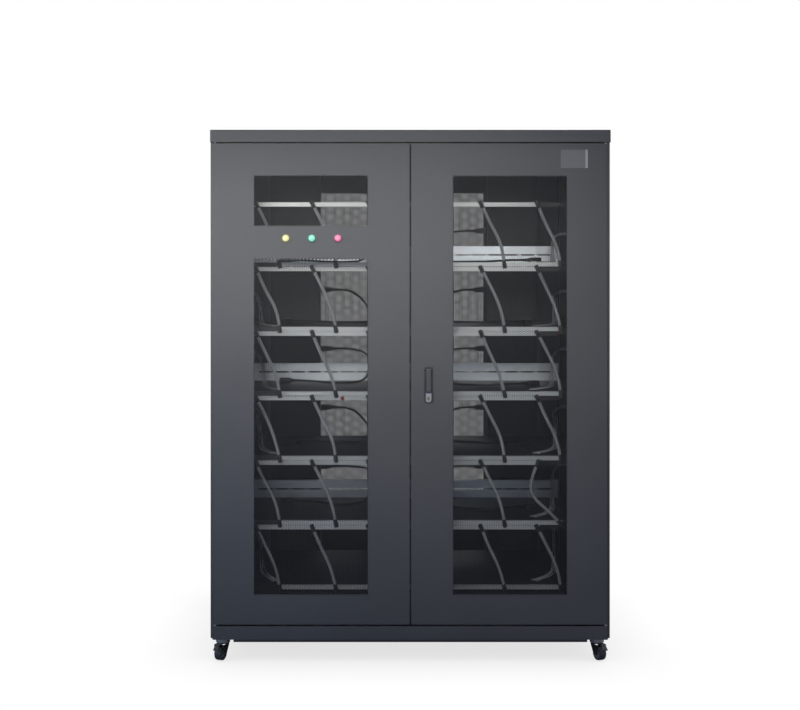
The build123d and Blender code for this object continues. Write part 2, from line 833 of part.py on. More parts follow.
# Handle escutcheon with a pocket for the lever and a cross pin between two ears
handle_x = door_inner + handle_edge
lever_pin_z = handle_bottom + handle_length - handle_margin - seat_gap - lever_thickness / 2
lever_pin_y = front - lever_rise - lever_thickness / 2
pocket_bottom = lever_pin_z + lever_thickness / 2 - lever_length - seat_gap
pocket_top = handle_bottom + handle_length - handle_margin
ear_width = (handle_width - handle_pocket_width) / 2 - 2
with BuildPart() as handle_escutcheon:
    with BuildSketch(Plane.XZ.offset(-front)):
        with Locations((handle_x, handle_bottom + handle_length / 2)):
            RectangleRounded(handle_width, handle_length, 6)
    extrude(amount=handle_plate)
    with BuildSketch(Plane.YZ.offset(handle_x - handle_pocket_width / 2 - ear_width)):
        with Locations((lever_pin_y, lever_pin_z)):
            Circle(lever_thickness / 2)
    extrude(amount=handle_pocket_width + 2 * ear_width)
    with BuildSketch(Plane.XZ.offset(-front + handle_reach)):
        with Locations((handle_x, (pocket_bottom + pocket_top) / 2)):
            RectangleRounded(handle_pocket_width, pocket_top - pocket_bottom, 2)
    extrude(amount=lever_rise - seat_gap - handle_reach, mode=Mode.SUBTRACT)
    with BuildSketch(Plane.YZ.offset(handle_x - handle_pocket_width / 2 - 1)):
        with Locations((lever_pin_y, lever_pin_z)):
            Circle(lever_pin_radius)
    extrude(amount=handle_pocket_width + 2)
write(handle_escutcheon, "handle_escutcheon")

# Lock housing under the lever, rounded at the bottom
with BuildPart() as lock_housing:
    with BuildSketch(Plane.XZ.offset(-front + handle_plate)):
        with Locations((handle_x, handle_bottom + 2 + lock_length / 2)):
            Rectangle(lock_width, lock_length)
            fillet(vertices().group_by(Axis.Y)[0], 8)
    extrude(amount=lock_height - handle_plate)
write(lock_housing, "lock_housing")

# Lever, hinged on the cross pin at its top end
with BuildPart() as handle_lever:
    with BuildSketch(Plane.YZ.offset(handle_x - lever_width / 2)):
        with Locations((lever_pin_y, lever_pin_z + lever_thickness / 2 - lever_length / 2)):
            SlotOverall(lever_length, lever_thickness, rotation=90)
        with Locations((lever_pin_y, lever_pin_z)):
            Circle(lever_pin_radius + running_fit, mode=Mode.SUBTRACT)
    extrude(amount=lever_width)
write(handle_lever, "handle_lever")

# Lock case behind the right door, with a rod up and a rod down in their guides
rod_x = handle_x + rod_x_shift
rod_y = front + door_skin + guide_size / 2
case_middle = handle_bottom + handle_length / 2
case_bottom, case_top = case_middle - case_height / 2, case_middle + case_height / 2
with BuildPart() as lock_case:
    span(
        rod_x - guide_size / 2, rod_x - guide_size / 2 + case_width, front + door_skin,
        front + door_skin + case_depth, case_bottom, case_top,
    )
    fillet(lock_case.edges().filter_by(Axis.Z), 3)
write(lock_case, "lock_case")

rods = {-1: (door_bottom + rod_end_gap, case_bottom), 1: (case_top, door_top - rod_end_gap)}
with BuildPart() as latch_rods:
    for z0, z1 in rods.values():
        with Locations((rod_x, rod_y, z0)):
            Cylinder(rod_radius, z1 - z0, align=(Align.CENTER, Align.CENTER, Align.MIN))
write(latch_rods, "latch_rods")

with BuildPart() as rod_guides:
    for z0, z1 in rods.values():
        for share in guide_places:
            z = z0 + (z1 - z0) * share
            span(
                rod_x - guide_size / 2, rod_x + guide_size / 2, front + door_skin,
                front + door_skin + guide_size, z, z + guide_height,
            )
            with Locations((rod_x, rod_y, z)):
                Cylinder(
                    rod_radius + running_fit, guide_height,
                    align=(Align.CENTER, Align.CENTER, Align.MIN), mode=Mode.SUBTRACT,
                )
write(rod_guides, "rod_guides")

# Casters: a fixed plate and race, a fork that swivels and a wheel
caster_y = {"front": front + caster_inset, "rear": back - caster_inset}
places = [(side * caster_x, y) for y in caster_y.values() for side in (-1, 1)]
with BuildPart() as caster_plates:
    with BuildSketch(Plane.XY.offset(caster_height - caster_plate_thickness)):
        with Locations(*places):
            RectangleRounded(caster_plate, caster_plate, 8)
    extrude(amount=caster_plate_thickness)
    with BuildSketch(Plane.XY.offset(caster_height - caster_plate_thickness - race_height)):
        with Locations(*places):
            Circle(race_radius)
    extrude(amount=race_height)
write(caster_plates, "caster_plates")

crown_top = caster_height - caster_plate_thickness - race_height - race_gap
for end, y in caster_y.items():
    for side_name, side in (("left", -1), ("right", 1)):
        place = Pos(side * caster_x, y, 0) * Rot(0, 0, side * caster_turn)
        with BuildPart() as fork:
            with BuildSketch(Plane.XY.offset(crown_top - crown_thickness)):
                Circle(fork_width / 2)
            extrude(amount=crown_thickness)
            for cheek in (-1, 1):
                with BuildSketch(Plane.YZ.offset(cheek * fork_width / 2)):
                    with BuildLine():
                        Polyline(
                            (fork_width * 0.3, crown_top - crown_thickness),
                            (-caster_trail + 9, wheel_radius - 4),
                            (-caster_trail - 9, wheel_radius - 4),
                            (-caster_trail - 12, crown_top - crown_thickness),
                            close=True,
                        )
                    make_face()
                extrude(amount=-cheek * fork_side)
            with BuildSketch(Plane.YZ.offset(-fork_width / 2)):
                with Locations((-caster_trail, wheel_radius)):
                    Circle(axle_radius)
            extrude(amount=fork_width)
            if end == "front":
                tongue_z = crown_top - crown_thickness
                with BuildSketch(Plane.YZ):
                    with BuildLine():
                        Polyline(
                            (0, tongue_z), (-tongue_start, tongue_z), (-tongue_end, tongue_z - tongue_drop),
                            (-tongue_end, tongue_z - tongue_drop + tongue_thickness),
                            (-tongue_start, tongue_z + tongue_thickness), (0, tongue_z + tongue_thickness),
                            close=True,
                        )
                    make_face()
                extrude(amount=tongue_width / 2, both=True)
        fork.part = place * fork.part
        write(fork, f"{end}_{side_name}_fork")
        with BuildPart() as wheel:
            with BuildSketch(Plane.YZ.offset(-wheel_width / 2)):
                with Locations((-caster_trail, wheel_radius)):
                    Circle(wheel_radius)
                    Circle(axle_radius + running_fit, mode=Mode.SUBTRACT)
            extrude(amount=wheel_width)
        wheel.part = place * wheel.part
        write(wheel, f"{end}_{side_name}_wheel")
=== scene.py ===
# %% [markdown]
# A liquid cooling cabinet, dressed for the camera. Its construction comes from a imported CAD frame: every
# piece that is already right stays and only gets its finish here. This first cell loads that frame.

# %% Load the frame
from math import copysign, cos, pi, radians, sin, sqrt

import bpy
import numpy as np
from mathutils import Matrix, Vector


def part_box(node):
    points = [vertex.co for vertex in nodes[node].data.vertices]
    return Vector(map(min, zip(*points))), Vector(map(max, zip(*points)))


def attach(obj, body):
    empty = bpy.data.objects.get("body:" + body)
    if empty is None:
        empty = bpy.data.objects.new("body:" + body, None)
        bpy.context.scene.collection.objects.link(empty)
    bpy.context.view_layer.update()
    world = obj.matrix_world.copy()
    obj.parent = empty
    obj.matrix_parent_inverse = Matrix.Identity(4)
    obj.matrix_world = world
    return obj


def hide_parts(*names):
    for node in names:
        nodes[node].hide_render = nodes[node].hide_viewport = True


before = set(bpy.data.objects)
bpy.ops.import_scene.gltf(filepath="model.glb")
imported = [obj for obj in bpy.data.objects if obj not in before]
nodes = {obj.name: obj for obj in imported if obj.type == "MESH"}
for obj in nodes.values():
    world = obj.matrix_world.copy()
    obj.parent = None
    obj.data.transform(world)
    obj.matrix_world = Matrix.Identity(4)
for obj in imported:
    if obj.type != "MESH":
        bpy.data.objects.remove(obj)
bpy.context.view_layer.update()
MM = 0.001

# %% [markdown]
# The cabinet's front face is the datum of everything that is seen from outside. The camera stands a
# little over four and a half metres in front of it, at the height of a standing photographer's chest,
# and looks straight ahead. A view camera would be shifted to keep the uprights parallel, so the lens
# shift does the same here. One helper puts whatever is made into the scene.

# %% Camera
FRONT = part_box("left_door_panel")[0][1]
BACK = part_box("rear_left_panel")[1][1]
IMAGE_WIDTH = 800
IMAGE_HEIGHT = 710
SENSOR = 36
CAMERA_DISTANCE = 4650 * MM
CAMERA_SIDE = -162 * MM
CAMERA_HEIGHT = 1356 * MM
MM_PER_PIXEL = 3.4913
AXIS_PIXEL = (364, 274)


def link_object(name, data):
    """Puts data in the scene as an object."""
    obj = bpy.data.objects.new(name, data)
    bpy.context.scene.collection.objects.link(obj)
    return obj


camera_data = bpy.data.cameras.new("camera")
camera_data.sensor_width = SENSOR
camera_data.lens = SENSOR * CAMERA_DISTANCE / MM / MM_PER_PIXEL / IMAGE_WIDTH
camera_data.shift_x = (IMAGE_WIDTH / 2 - AXIS_PIXEL[0]) / IMAGE_WIDTH
camera_data.shift_y = (AXIS_PIXEL[1] - IMAGE_HEIGHT / 2) / IMAGE_WIDTH
camera = link_object("camera", camera_data)
camera.location = (CAMERA_SIDE, FRONT - CAMERA_DISTANCE, CAMERA_HEIGHT)
camera.rotation_euler = (pi / 2, 0, 0)
bpy.context.scene.camera = camera
print("lens:", round(camera_data.lens, 2))

# %% [markdown]
# Colours are written as the hex values that a screen shows. Cycles works in linear light, so one
# function turns them. A second one adds a node, sets it and links it, which is all that a node tree
# needs.

# %% Colour and node helpers
def linear(hex_colour):
    """An sRGB hex colour as linear RGBA."""
    channels = [int(hex_colour[i:i + 2], 16) / 255 for i in (1, 3, 5)]
    return (*[c / 12.92 if c <= 0.04045 else ((c + 0.055) / 1.055) ** 2.4 for c in channels], 1)


def add(material, kind, inputs=(), **settings):
    """Adds a node with its settings, and fills its sockets with values or links."""
    node = material.node_tree.nodes.new(kind)
    for name, value in settings.items():
        setattr(node, name, value)
    for socket, value in dict(inputs).items():
        if isinstance(value, bpy.types.NodeSocket):
            material.node_tree.links.new(value, node.inputs[socket])
        else:
            node.inputs[socket].default_value = value
    return node


def new_material(name):
    """An empty node material."""
    material = bpy.data.materials.new(name)
    material.use_nodes = True
    material.node_tree.nodes.clear()
    return material


def dress(material, *names):
    """Gives a material to CAD nodes."""
    for name in names:
        nodes[name].data.materials.clear()
        nodes[name].data.materials.append(material)


# %% [markdown]
# The outer sheets are mild steel with a polyester powder coat in slate grey. The powder melts into a
# skin with a very fine orange peel, which breaks up reflections without showing as a pattern. The real
# grain is about half a millimetre, under a pixel here, so it is drawn at two millimetres. A slow
# change of tone stands for the uneven film, and the roughness follows it a little.

# %% Powder coat
FILM_PATCHES_PER_METRE = 3.0
GLOSS_SPREAD = 0.03
PEEL_GRAIN = 2.0
PEEL_DEPTH = 0.2 * MM


def powder_coat(name, light, dark, roughness, grain=PEEL_GRAIN):
    """Polyester powder coat on steel sheet: a satin skin with a fine orange peel."""
    material = new_material(name)
    place = add(material, "ShaderNodeTexCoord").outputs["Object"]
    film = add(material, "ShaderNodeTexNoise", {
        "Vector": place, "Scale": FILM_PATCHES_PER_METRE, "Detail": 3.0,
    })
    tone = add(material, "ShaderNodeValToRGB", {"Fac": film.outputs["Fac"]})
    tone.color_ramp.elements[0].position = 0.35
    tone.color_ramp.elements[0].color = linear(dark)
    tone.color_ramp.elements[1].position = 0.65
    tone.color_ramp.elements[1].color = linear(light)
    gloss = add(material, "ShaderNodeMapRange", {
        "Value": film.outputs["Fac"], "To Min": roughness - GLOSS_SPREAD,
        "To Max": roughness + GLOSS_SPREAD,
    })
    peel = add(material, "ShaderNodeTexNoise", {
        "Vector": place, "Scale": 1 / (grain * MM), "Detail": 2.0,
    })
    bump = add(material, "ShaderNodeBump", {
        "Height": peel.outputs["Fac"], "Strength": 0.08, "Distance": PEEL_DEPTH,
    })
    shader = add(material, "ShaderNodeBsdfPrincipled", {
        "Base Color": tone.outputs["Color"], "Roughness": gloss.outputs["Result"],
        "Normal": bump.outputs["Normal"], "Specular IOR Level": 0.5,
    })
    add(material, "ShaderNodeOutputMaterial", {"Surface": shader.outputs["BSDF"]})
    return material


slate_coat = powder_coat("slate_powder_coat", "#3d3e40", "#393a3c", 0.5)
# Painted shade: the perforated webs are darker than the doors, partly their own black paint and partly the
# shade of the punched holes' edges.
mesh_coat_painted_shade = powder_coat("mesh_powder_coat_painted_shade", "#2a2c2e", "#26282a", 0.5)
black_coat = powder_coat("black_powder_coat", "#232427", "#1d1e21", 0.45)
# Painted shade: the power units' near-black coat is partly their own charcoal paint and partly the shade
# inside the cabinet.
column_coat_painted_shade = powder_coat("charcoal_powder_coat_painted_shade", "#141516", "#101112", 0.5)
dress(
    slate_coat, "roof_cap", "base_frame", "left_side_panel", "right_side_panel", "rear_left_panel",
    "rear_right_panel", "left_door_panel", "right_door_panel",
)
dress(
    black_coat, "corner_posts", "top_rails", "uprights", "shelves", "floor_plate", "drip_tray",
    "rail_support",
)
dress(column_coat_painted_shade, "left_power_unit", "right_power_unit")
print("painted nodes:", sum(1 for o in nodes.values() if o.data.materials))

# %% [markdown]
# The coolant rails are square stainless tube, drawn through a die and left bright. Drawing leaves
# fine lines along the tube, so the noise is stretched two hundred times along X and drives both the
# roughness and a shallow bump.

# %% Drawn stainless steel
LINE_WIDTH = 1.0 * MM
LINE_STRETCH = 0.005
LINE_GLOSS_SPREAD = 0.08
LINE_DEPTH = 0.1 * MM


def drawn_steel(name, colour, roughness):
    """Drawn stainless tube: bright, with fine lines along its length."""
    material = new_material(name)
    place = add(material, "ShaderNodeTexCoord").outputs["Object"]
    stretched = add(material, "ShaderNodeMapping", {
        "Vector": place, "Scale": (LINE_STRETCH, 1, 1),
    })
    lines = add(material, "ShaderNodeTexNoise", {
        "Vector": stretched.outputs["Vector"], "Scale": 1 / LINE_WIDTH, "Detail": 3.0,
    })
    gloss = add(material, "ShaderNodeMapRange", {
        "Value": lines.outputs["Fac"], "To Min": roughness - LINE_GLOSS_SPREAD,
        "To Max": roughness + LINE_GLOSS_SPREAD,
    })
    bump = add(material, "ShaderNodeBump", {
        "Height": lines.outputs["Fac"], "Strength": 0.15, "Distance": LINE_DEPTH,
    })
    shader = add(material, "ShaderNodeBsdfPrincipled", {
        "Base Color": linear(colour), "Metallic": 0.4, "Roughness": gloss.outputs["Result"],
        "Normal": bump.outputs["Normal"],
    })
    add(material, "ShaderNodeOutputMaterial", {"Surface": shader.outputs["BSDF"]})
    return material


rail_steel = drawn_steel("drawn_stainless_tube", "#c8cbc9", 0.42)
dress(rail_steel, "supply_rails", "return_rails", "rail_clips")

# %% [markdown]
# The cable trays are cold-rolled sheet that was hot-dip galvanised. The zinc freezes in flat crystals,
# the spangle, each with its own brightness. Voronoi cells have exactly that look, here 9 mm across.
# The caster plates are plated in a thinner, even coat, so they use a finer grain. The same function,
# less metallic, serves the anodised aluminium of the blank plate.

# %% Galvanised and zinc-plated steel
SHINIEST_CRYSTAL = 0.06
DULLEST_CRYSTAL = 0.1


def zinc_coat(name, light, dark, roughness, spangle, metallic=0.9):
    """Zinc on steel: flat crystals with slightly different tones."""
    material = new_material(name)
    place = add(material, "ShaderNodeTexCoord").outputs["Object"]
    crystals = add(material, "ShaderNodeTexVoronoi", {
        "Vector": place, "Scale": 1 / (spangle * MM),
    })
    value = add(material, "ShaderNodeSeparateColor", {"Color": crystals.outputs["Color"]})
    tone = add(material, "ShaderNodeValToRGB", {"Fac": value.outputs["Red"]})
    tone.color_ramp.elements[0].color = linear(dark)
    tone.color_ramp.elements[1].color = linear(light)
    gloss = add(material, "ShaderNodeMapRange", {
        "Value": value.outputs["Green"], "To Min": roughness - SHINIEST_CRYSTAL,
        "To Max": roughness + DULLEST_CRYSTAL,
    })
    shader = add(material, "ShaderNodeBsdfPrincipled", {
        "Base Color": tone.outputs["Color"], "Metallic": metallic,
        "Roughness": gloss.outputs["Result"],
    })
    add(material, "ShaderNodeOutputMaterial", {"Surface": shader.outputs["BSDF"]})
    return material


galvanised_sheet = zinc_coat("galvanised_sheet", "#f0f5fa", "#dce4eb", 0.38, 9)
plated_zinc = zinc_coat("plated_zinc", "#8f9094", "#828387", 0.38, 1.5)
dress(galvanised_sheet, "cable_trays")
dress(plated_zinc, "caster_plates", "door_pivots", "latch_rods", "lock_case", "rod_guides")

# %% [markdown]
# Fittings, plugs and hose are moulded or extruded plastic. What tells them apart is their colour, with
# the pigment's faint cloudiness, and their gloss, so one function makes them all from two tones and a
# roughness. The mould's grain is the same fine one on all of them.

# %% Moulded plastics
CLOUDS_PER_METRE = 25.0
MOULD_GRAIN = 1.5
MOULD_DEPTH = 0.15 * MM


def moulded(name, light, dark, roughness):
    """Moulded or extruded plastic with a fine mould grain."""
    material = new_material(name)
    place = add(material, "ShaderNodeTexCoord").outputs["Object"]
    cloud = add(material, "ShaderNodeTexNoise", {
        "Vector": place, "Scale": CLOUDS_PER_METRE, "Detail": 2.0,
    })
    tone = add(material, "ShaderNodeValToRGB", {"Fac": cloud.outputs["Fac"]})
    tone.color_ramp.elements[0].position = 0.3
    tone.color_ramp.elements[0].color = linear(dark)
    tone.color_ramp.elements[1].position = 0.7
    tone.color_ramp.elements[1].color = linear(light)
    pits = add(material, "ShaderNodeTexNoise", {"Vector": place, "Scale": 1 / (MOULD_GRAIN * MM)})
    bump = add(material, "ShaderNodeBump", {
        "Height": pits.outputs["Fac"], "Strength": 0.1, "Distance": MOULD_DEPTH,
    })
    shader = add(material, "ShaderNodeBsdfPrincipled", {
        "Base Color": tone.outputs["Color"], "Roughness": roughness, "IOR": 1.5,
        "Normal": bump.outputs["Normal"],
    })
    add(material, "ShaderNodeOutputMaterial", {"Surface": shader.outputs["BSDF"]})
    return material


nylon_fitting = moulded("nylon_fitting", "#2c2d2f", "#232426", 0.4)
hose_polyurethane = moulded("hose_polyurethane", "#a2a4a4", "#989a9a", 0.38)
header_rubber = moulded("header_rubber", "#28292b", "#202123", 0.6)
plug_pvc = moulded("plug_pvc", "#18181a", "#131315", 0.42)
jacket_pvc = moulded("jacket_pvc", "#1a1a1c", "#141416", 0.45)
# Painted light: the sensor leads' grey is painted paler to stand in for light that the shelves keep from
# them.
lead_pvc_painted_light = moulded("lead_pvc_painted_light", "#d4d7dc", "#c5c8cd", 0.45)
plug_white = moulded("plug_white", "#c9c8c2", "#bdbcb6", 0.45)
wheel_nylon = moulded("wheel_nylon", "#626365", "#555658", 0.45)
wheel_rubber = moulded("wheel_rubber", "#29292b", "#222224", 0.6)
# The same black also serves as painted shade in the keyway and in the screws' cross recesses.
seal_rubber_and_painted_shade = moulded("seal_rubber_and_painted_shade", "#141416", "#101012", 0.65)
red_polypropylene = moulded("red_polypropylene", "#8a2026", "#741a20", 0.35)
dress(nylon_fitting, "supply_fittings", "return_fittings")
dress(header_rubber, "supply_header", "return_header")
dress(hose_polyurethane, "loop_hoses")
dress(red_polypropylene, "rail_drains")
dress(plug_pvc, "lead_clips")

# %% [markdown]
# The swing handle is a zinc die casting: the escutcheon is black, the lever is a lighter grey, and the
# lock housing under it is left bright. The forks of the casters are pressed steel in gloss black. The
# lock's cylinder is brass, the blank plate and its strip are anodised, and the screws are plated.

# %% Die castings and pressings
FINE_PEEL = 1.2
escutcheon_coat = powder_coat("escutcheon_coat", "#1f2023", "#1a1b1e", 0.4, FINE_PEEL)
lever_coat = powder_coat("lever_coat", "#404245", "#3a3c3f", 0.35, FINE_PEEL)
fork_coat = powder_coat("fork_coat", "#1b1b1d", "#151517", 0.35, FINE_PEEL)
bright_casting = zinc_coat("bright_casting", "#a9acae", "#9fa2a4", 0.3, 0.8)
lock_brass = zinc_coat("lock_brass", "#8f8a72", "#85806a", 0.35, 0.8)
strip_anodised = zinc_coat("strip_anodised", "#8f9092", "#8a8b8d", 0.45, 0.6, 0.3)
screw_zinc = zinc_coat("screw_zinc", "#7d7e80", "#727375", 0.35, 1.0)
plate_anodised = zinc_coat("plate_anodised", "#5f6062", "#5b5c5e", 0.5, 0.6, 0.3)
dress(escutcheon_coat, "handle_escutcheon")
dress(lever_coat, "handle_lever")
dress(bright_casting, "lock_housing")
dress(plate_anodised, "name_plate")
dress(fork_coat, *[name for name in nodes if name.endswith("_fork")])

# %% [markdown]
# Each window of the doors and the back is punched with hexagons in staggered columns. The web between
# them is what the eye sees, so it is real geometry: every cell of the pattern has the six corners of
# its hole, neighbouring cells are joined by strips, and three cells meet in a small triangle. Cells at
# the rim keep their metal, and what reaches past the window is cut back to its edge. The doors' sheets
# also get the walls of their holes, as deep as the sheet is thick. One window has over ten thousand
# holes, so the mesh is worked out with arrays.

# %% Perforated sheets
CELL_PITCH = 7.26 * MM
COLUMN_STEP = CELL_PITCH * sqrt(3) / 2
DOOR_HOLE = 6.15 * MM
BACK_HOLE = 2.9 * MM
RIM = 0.8 * MM
BLANK_RING = 2
SMALLEST_FACE = 1e-10


def hole_corners(x0, x1, z0, z1, flats):
    """Hole corners of every cell in a window, cut back to the window, and which cells are punched."""
    radius = flats / sqrt(3)
    columns = int((x1 - x0 - 2 * RIM - 2 * radius) / COLUMN_STEP) + 1
    rows = int((z1 - z0 - 2 * RIM - flats - CELL_PITCH / 2) / CELL_PITCH) + 1
    column, row = np.meshgrid(
        np.arange(-BLANK_RING, columns + BLANK_RING), np.arange(-BLANK_RING, rows + BLANK_RING),
        indexing="ij",
    )
    x = (x0 + x1) / 2 + (column - (columns - 1) / 2) * COLUMN_STEP
    z = (z0 + z1) / 2 + (row + (column % 2) / 2 - (rows - 0.5) / 2) * CELL_PITCH
    angles = np.arange(6) * pi / 3
    corner_x = np.clip(x[..., None] + radius * np.cos(angles), x0, x1)
    corner_z = np.clip(z[..., None] + radius * np.sin(angles), z0, z1)
    punched = (column >= 0) & (column < columns) & (row >= 0) & (row < rows)
    return corner_x, corner_z, punched, column % 2


def web_faces(index, odd):
    """The strips between neighbouring cells and the triangles where three cells meet."""
    cell = index[:-1, 1:-1]
    north = index[:-1, 2:]
    across = np.arange(1, index.shape[0])[:, None]
    up = np.arange(1, index.shape[1] - 1)[None, :] + odd[:-1, 1:-1]
    upper_right = index[across, up]
    lower_right = index[across, up - 1]
    strips = [
        (cell[..., 1], north[..., 5], north[..., 4], cell[..., 2]),
        (cell[..., 0], upper_right[..., 4], upper_right[..., 3], cell[..., 1]),
        (cell[..., 5], lower_right[..., 3], lower_right[..., 2], cell[..., 0]),
    ]
    corners = [
        (cell[..., 0], lower_right[..., 2], upper_right[..., 4]),
        (cell[..., 1], upper_right[..., 3], north[..., 5]),
    ]
    return [np.stack(f, axis=-1).reshape(-1, len(f)) for f in strips + corners]


def face_areas(faces, x, z):
    """Areas of flat faces in the sheet's plane, by the shoelace formula."""
    fx, fz = x[faces], z[faces]
    return abs((fx * np.roll(fz, -1, axis=1) - np.roll(fx, -1, axis=1) * fz).sum(axis=1)) / 2


def mesh_object(name, points, faces, material):
    """A mesh object from arrays, without the points that no face uses."""
    used = np.unique(np.concatenate([f.ravel() for f in faces]))
    renumber = np.zeros(len(points), dtype=int)
    renumber[used] = np.arange(len(used))
    mesh = bpy.data.meshes.new(name)
    all_faces = [face for group in faces for face in renumber[group].tolist()]
    mesh.from_pydata(points[used].tolist(), [], all_faces)
    mesh.materials.append(material)
    return link_object(name, mesh)


def perforate(node, body, facing, flats, walls, halves):
    """Replaces a plain window node by its punched sheet, in one or more pieces."""
    low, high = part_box(node)
    x, z, punched, odd = hole_corners(low[0], high[0], low[2], high[2], flats)
    index = np.arange(x.size).reshape(x.shape)
    flat_x, flat_z = x.ravel(), z.ravel()
    faces = web_faces(index, odd) + [index[~punched]]
    faces = [f[face_areas(f, flat_x, flat_z) > SMALLEST_FACE] for f in faces]
    outer_y, inner_y = (low[1], high[1]) if facing < 0 else (high[1], low[1])
    front = np.column_stack([flat_x, np.full(flat_x.size, outer_y), flat_z])
    points = np.concatenate([front, front + (0, inner_y - outer_y, 0)])
    if walls:
        rim = index[punched]
        after = np.roll(rim, -1, axis=1)
        deep = flat_x.size
        faces.append(np.stack([rim, after, after + deep, rim + deep], axis=-1).reshape(-1, 4))
    if facing > 0:
        faces = [f[:, ::-1] for f in faces]
    made = []
    for part in range(halves):
        bottom = low[2] + (high[2] - low[2]) * part / halves
        top = low[2] + (high[2] - low[2]) * (part + 1) / halves
        if part == halves - 1:
            top += CELL_PITCH
        middle = [points[f][..., 2].mean(axis=1) for f in faces]
        inside = [f[(m >= bottom) & (m < top)] for f, m in zip(faces, middle)]
        name = node.replace("mesh", "perforation") + (f"_{part + 1}" if halves > 1 else "")
        sheet = mesh_object(name, points, [f for f in inside if len(f)], mesh_coat_painted_shade)
        made.append(sheet)
        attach(sheet, body)
        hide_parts(node)
    print(node, "holes:", int(punched.sum()), "faces:", [len(o.data.polygons) for o in made])


perforate("left_door_upper_mesh", "left_door", -1, DOOR_HOLE, True, 1)
perforate("left_door_lower_mesh", "left_door", -1, DOOR_HOLE, True, 2)
perforate("right_door_mesh", "right_door", -1, DOOR_HOLE, True, 2)
perforate("rear_left_mesh", "cabinet", 1, BACK_HOLE, False, 1)
perforate("rear_right_mesh", "cabinet", 1, BACK_HOLE, False, 1)

# %% [markdown]
# Much of the small hardware is round or nearly round: lamps, fittings, plugs, wheels. One function makes
# all of it. A body is a stack of sections along an axis, each with a half width, a half depth and a
# power. Power 2 gives an ellipse, and a higher one comes near a rectangle, so a plug can start as a
# rounded block and end as a round strain relief. Six corners give a hexagon nut.

# %% Bodies from stacked sections
SHARP_ANGLE = radians(35)


def stacked(name, bodies, material):
    """Joins bodies of (centre, axis, width direction, corners, sections) in one mesh object."""
    points, faces = [], []
    for centre, axis, across, corners, sections in bodies:
        axis = Vector(axis).normalized()
        across = (Vector(across) - Vector(across).dot(axis) * axis).normalized()
        other = axis.cross(across)
        rings = []
        for height, half_width, half_depth, power in sections:
            base = Vector(centre) + axis * height
            start = len(points)
            if half_width == 0:
                rings.append([start] * corners)
                points.append(tuple(base))
                continue
            rings.append(list(range(start, start + corners)))
            for step in range(corners):
                turn = 2 * pi * step / corners
                u, v = cos(turn), sin(turn)
                u, v = [copysign(abs(c) ** (2 / power), c) for c in (u, v)]
                corner = base + across * (half_width * u) + other * (half_depth * v)
                points.append(tuple(corner))
        for lower, upper in zip(rings, rings[1:]):
            for step in range(corners):
                after = (step + 1) % corners
                ring = [lower[step], lower[after], upper[after], upper[step]]
                faces.append(list(dict.fromkeys(ring)))
    mesh = bpy.data.meshes.new(name)
    mesh.from_pydata(points, [], faces)
    mesh.materials.append(material)
    mesh.shade_smooth()
    mesh.set_sharp_from_angle(angle=SHARP_ANGLE)
    return link_object(name, mesh)


def round_sections(profile):
    """Sections of a turned part from its (radius, height) profile."""
    return [(height, radius, radius, 2) for radius, height in profile]


def place_piece(piece, body, slot, *replaced):
    """Lets a piece ride on a body and hides the CAD nodes that it stands for; its slot is not used."""
    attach(piece, body)
    if replaced:
        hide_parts(*replaced)


# %% [markdown]
# A pilot lamp is a turned ring that clamps a moulded polycarbonate lens against the door. The lens is a
# low dome, and both parts are tinted in the lamp's colour: the ring is dark and the lens is pale. The
# lens has a faint painted glow: a little emission that stands in for light on it. The body and its nut
# behind the door are black nylon.

# %% Pilot lamps
RIBS_PER_METRE = 600.0
RIB_DEPTH = 0.2 * MM


def tinted(name, colour, roughness, glow=0.0):
    """Tinted polycarbonate: glossy; its glow is painted light, emission that stands in for light on a
    lens.
    """
    material = new_material(name)
    place = add(material, "ShaderNodeTexCoord").outputs["Object"]
    ribs = add(material, "ShaderNodeTexNoise", {"Vector": place, "Scale": RIBS_PER_METRE})
    bump = add(material, "ShaderNodeBump", {
        "Height": ribs.outputs["Fac"], "Strength": 0.08, "Distance": RIB_DEPTH,
    })
    shader = add(material, "ShaderNodeBsdfPrincipled", {
        "Base Color": linear(colour), "Roughness": roughness, "IOR": 1.58,
        "Emission Color": linear(colour), "Emission Strength": glow,
        "Normal": bump.outputs["Normal"],
    })
    add(material, "ShaderNodeOutputMaterial", {"Surface": shader.outputs["BSDF"]})
    return material


